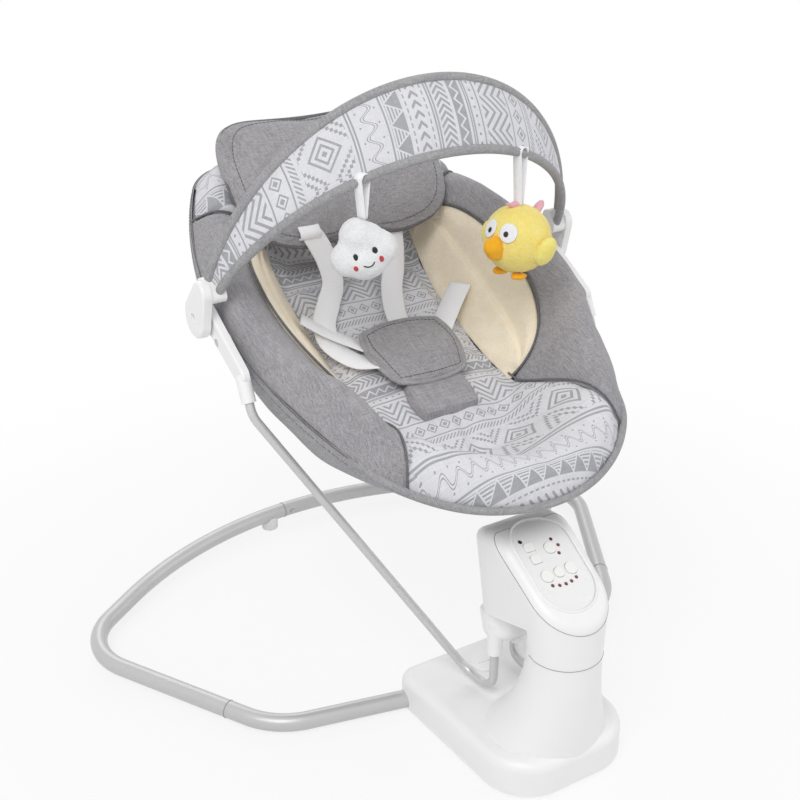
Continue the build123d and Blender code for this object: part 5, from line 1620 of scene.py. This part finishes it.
toy_x = 0.090
hang_y = -0.0479
hang_z = 0.5602
cloud_turn = math.radians(20)
cloud_face = turned(facing((-math.sin(cloud_turn), -math.cos(cloud_turn), 0)), 18, "Y")
cloud_at = Vector((-toy_x, hang_y, 0.4930))
cloud_balls = (
    ((0, 0, -0.0090), (0.0225, 0.0185, 0.0205)),
    ((-0.0155, 0, -0.0035), (0.0175, 0.0165, 0.0175)),
    ((0.0155, 0, -0.0030), (0.0175, 0.0165, 0.0175)),
    ((0.0010, 0, 0.0150), (0.0172, 0.0160, 0.0178)),
    ((-0.0100, 0, 0.0100), (0.0135, 0.0140, 0.0135)),
)
cloud = lump(
    "cloud_plush_body",
    [(cloud_at + cloud_face @ Vector(spot), size, cloud_face) for spot, size in cloud_balls],
    cloud_white,
)
fit(cloud, "cloud_toy", "cloud_body")
cloud_eyes, cloud_cheeks = [], []
for side in (-1, 1):
    eye = on_toy(cloud, cloud_at, cloud_face, side * 0.0095, 0.0005)
    cheek = on_toy(cloud, cloud_at, cloud_face, side * 0.0125, -0.0085)
    cloud_eyes.append((eye, 0.0027, 0.0042, cloud_face))
    cloud_cheeks.append((cheek, 0.0026, 0.0034, cloud_face))
button_disc("cloud_eyes", cloud_eyes, "cloud_toy", thread_black)
button_disc("cloud_cheeks", cloud_cheeks, "cloud_toy", thread_red)
smile_plan = [(0.0055 * a, -0.0110 + 0.0026 * a**2) for a in steps(-1, 1, 16)]
smile = [on_toy(cloud, cloud_at, cloud_face, across, height, -0.0002) for across, height in smile_plan]
pipe("cloud_smile", [(smile, False)], "cloud_toy", "receiver_black", thread_black, 0.0006, 6)

chick_turn = math.radians(14)
chick_face = facing((-math.cos(chick_turn), -math.sin(chick_turn), 0))
chick_at = Vector((toy_x, hang_y, 0.4729))


def chick_ball(spot, size, face=chick_face):
    """One round part of the chick: across, forwards and up from its middle."""
    return chick_at + chick_face @ Vector(spot), size, face


chick_balls = [
    chick_ball((0, 0, 0), (0.0350, 0.0345, 0.0352)),
    chick_ball((0, -0.030, -0.006), (0.010, 0.012, 0.008)),
]
chick = lump("chick_plush_body", chick_balls, chick_yellow, smoothing=8)
fit(chick, "chick_toy", "chick_body")
beak_balls = [
    chick_ball((0, 0.034, 0.0000), (0.0095, 0.0150, 0.0105)),
    chick_ball((0, 0.033, -0.0070), (0.0085, 0.0115, 0.0080)),
]
beak = lump("chick_plush_beak", beak_balls, chick_orange, 0.0018, 4, 0.0003)
fit(beak, "chick_toy", "chick_beak")
wing_size = (0.0070, 0.0135, 0.0165)
wing_balls = [
    chick_ball((side * 0.0355, -0.002, -0.006), wing_size, turned(chick_face, side * 18, "Y"))
    for side in (-1, 1)
]
chick_wings = lump("chick_plush_wings", wing_balls, chick_pale, 0.0018, 4, 0.0003)
fit(chick_wings, "chick_toy", "chick_wings")
toe_size = (0.0034, 0.0075, 0.0032)
toe_balls = [
    chick_ball((side * 0.012 + toe * 0.004, 0.010 + 0.003 * (1 - abs(toe)), -0.0345), toe_size)
    for side in (-1, 1)
    for toe in (-1, 0, 1)
]
chick_feet = lump("chick_plush_feet", toe_balls, chick_orange, 0.0015, 3, 0.0002)
fit(chick_feet, "chick_toy", "chick_feet")
eye_spots, pupil_spots = [], []
for side in (-1, 1):
    spot = on_toy(chick, chick_at, chick_face, side * 0.0115, 0.0145)
    eye_face = facing(spot - chick_at)
    pupil = spot + eye_face @ Vector((-side * 0.0020, 0.0012, -0.0015))
    eye_spots.append((spot, 0.0094, 0.0100, eye_face))
    pupil_spots.append((pupil, 0.0026, 0.0030, eye_face))
button_disc("chick_eye_whites", eye_spots, "chick_toy", thread_white)
button_disc("chick_pupils", pupil_spots, "chick_toy", thread_black)
tuft_balls = [
    chick_ball((0.002, 0.003, 0.0355), (0.0045, 0.0085, 0.0034)),
    chick_ball((0.002, 0.012, 0.0372), (0.0022, 0.0065, 0.0020), turned(chick_face, 20, "X")),
    chick_ball((0, -0.0310, 0.0245), (0.0048, 0.0105, 0.0046), turned(chick_face, -38, "X")),
]
fit(lump("chick_tuft", tuft_balls, tuft_pink, 0.0012, 3, 0.0002), "chick_toy")

tape_width = 0.010
tape_thick = 0.0012
tape_round = 0.0062
tape_across = (0.35, -0.9, 0.0)
tape_lean = Vector((0.9, 0.35, 0.0)).normalized()
for label, x, toy_top in (("cloud", -toy_x, 0.5240), ("chick", toy_x, 0.5070)):
    hang = Vector((x, hang_y, hang_z))
    foot = Vector((x, hang_y, toy_top))
    loop = [foot + tape_lean * tape_thick]
    for turn in steps(0, math.pi, 12):
        rise = Vector((0, 0, tape_round * math.sin(turn)))
        loop.append(hang + tape_lean * tape_round * math.cos(turn) + rise)
    loop.append(foot - tape_lean * tape_thick)
    tape = strap(loop, tape_across, tape_width, tape_thick)
    strap_piece(label + "_tape", [tape], label + "_toy", label + "_ribbon")
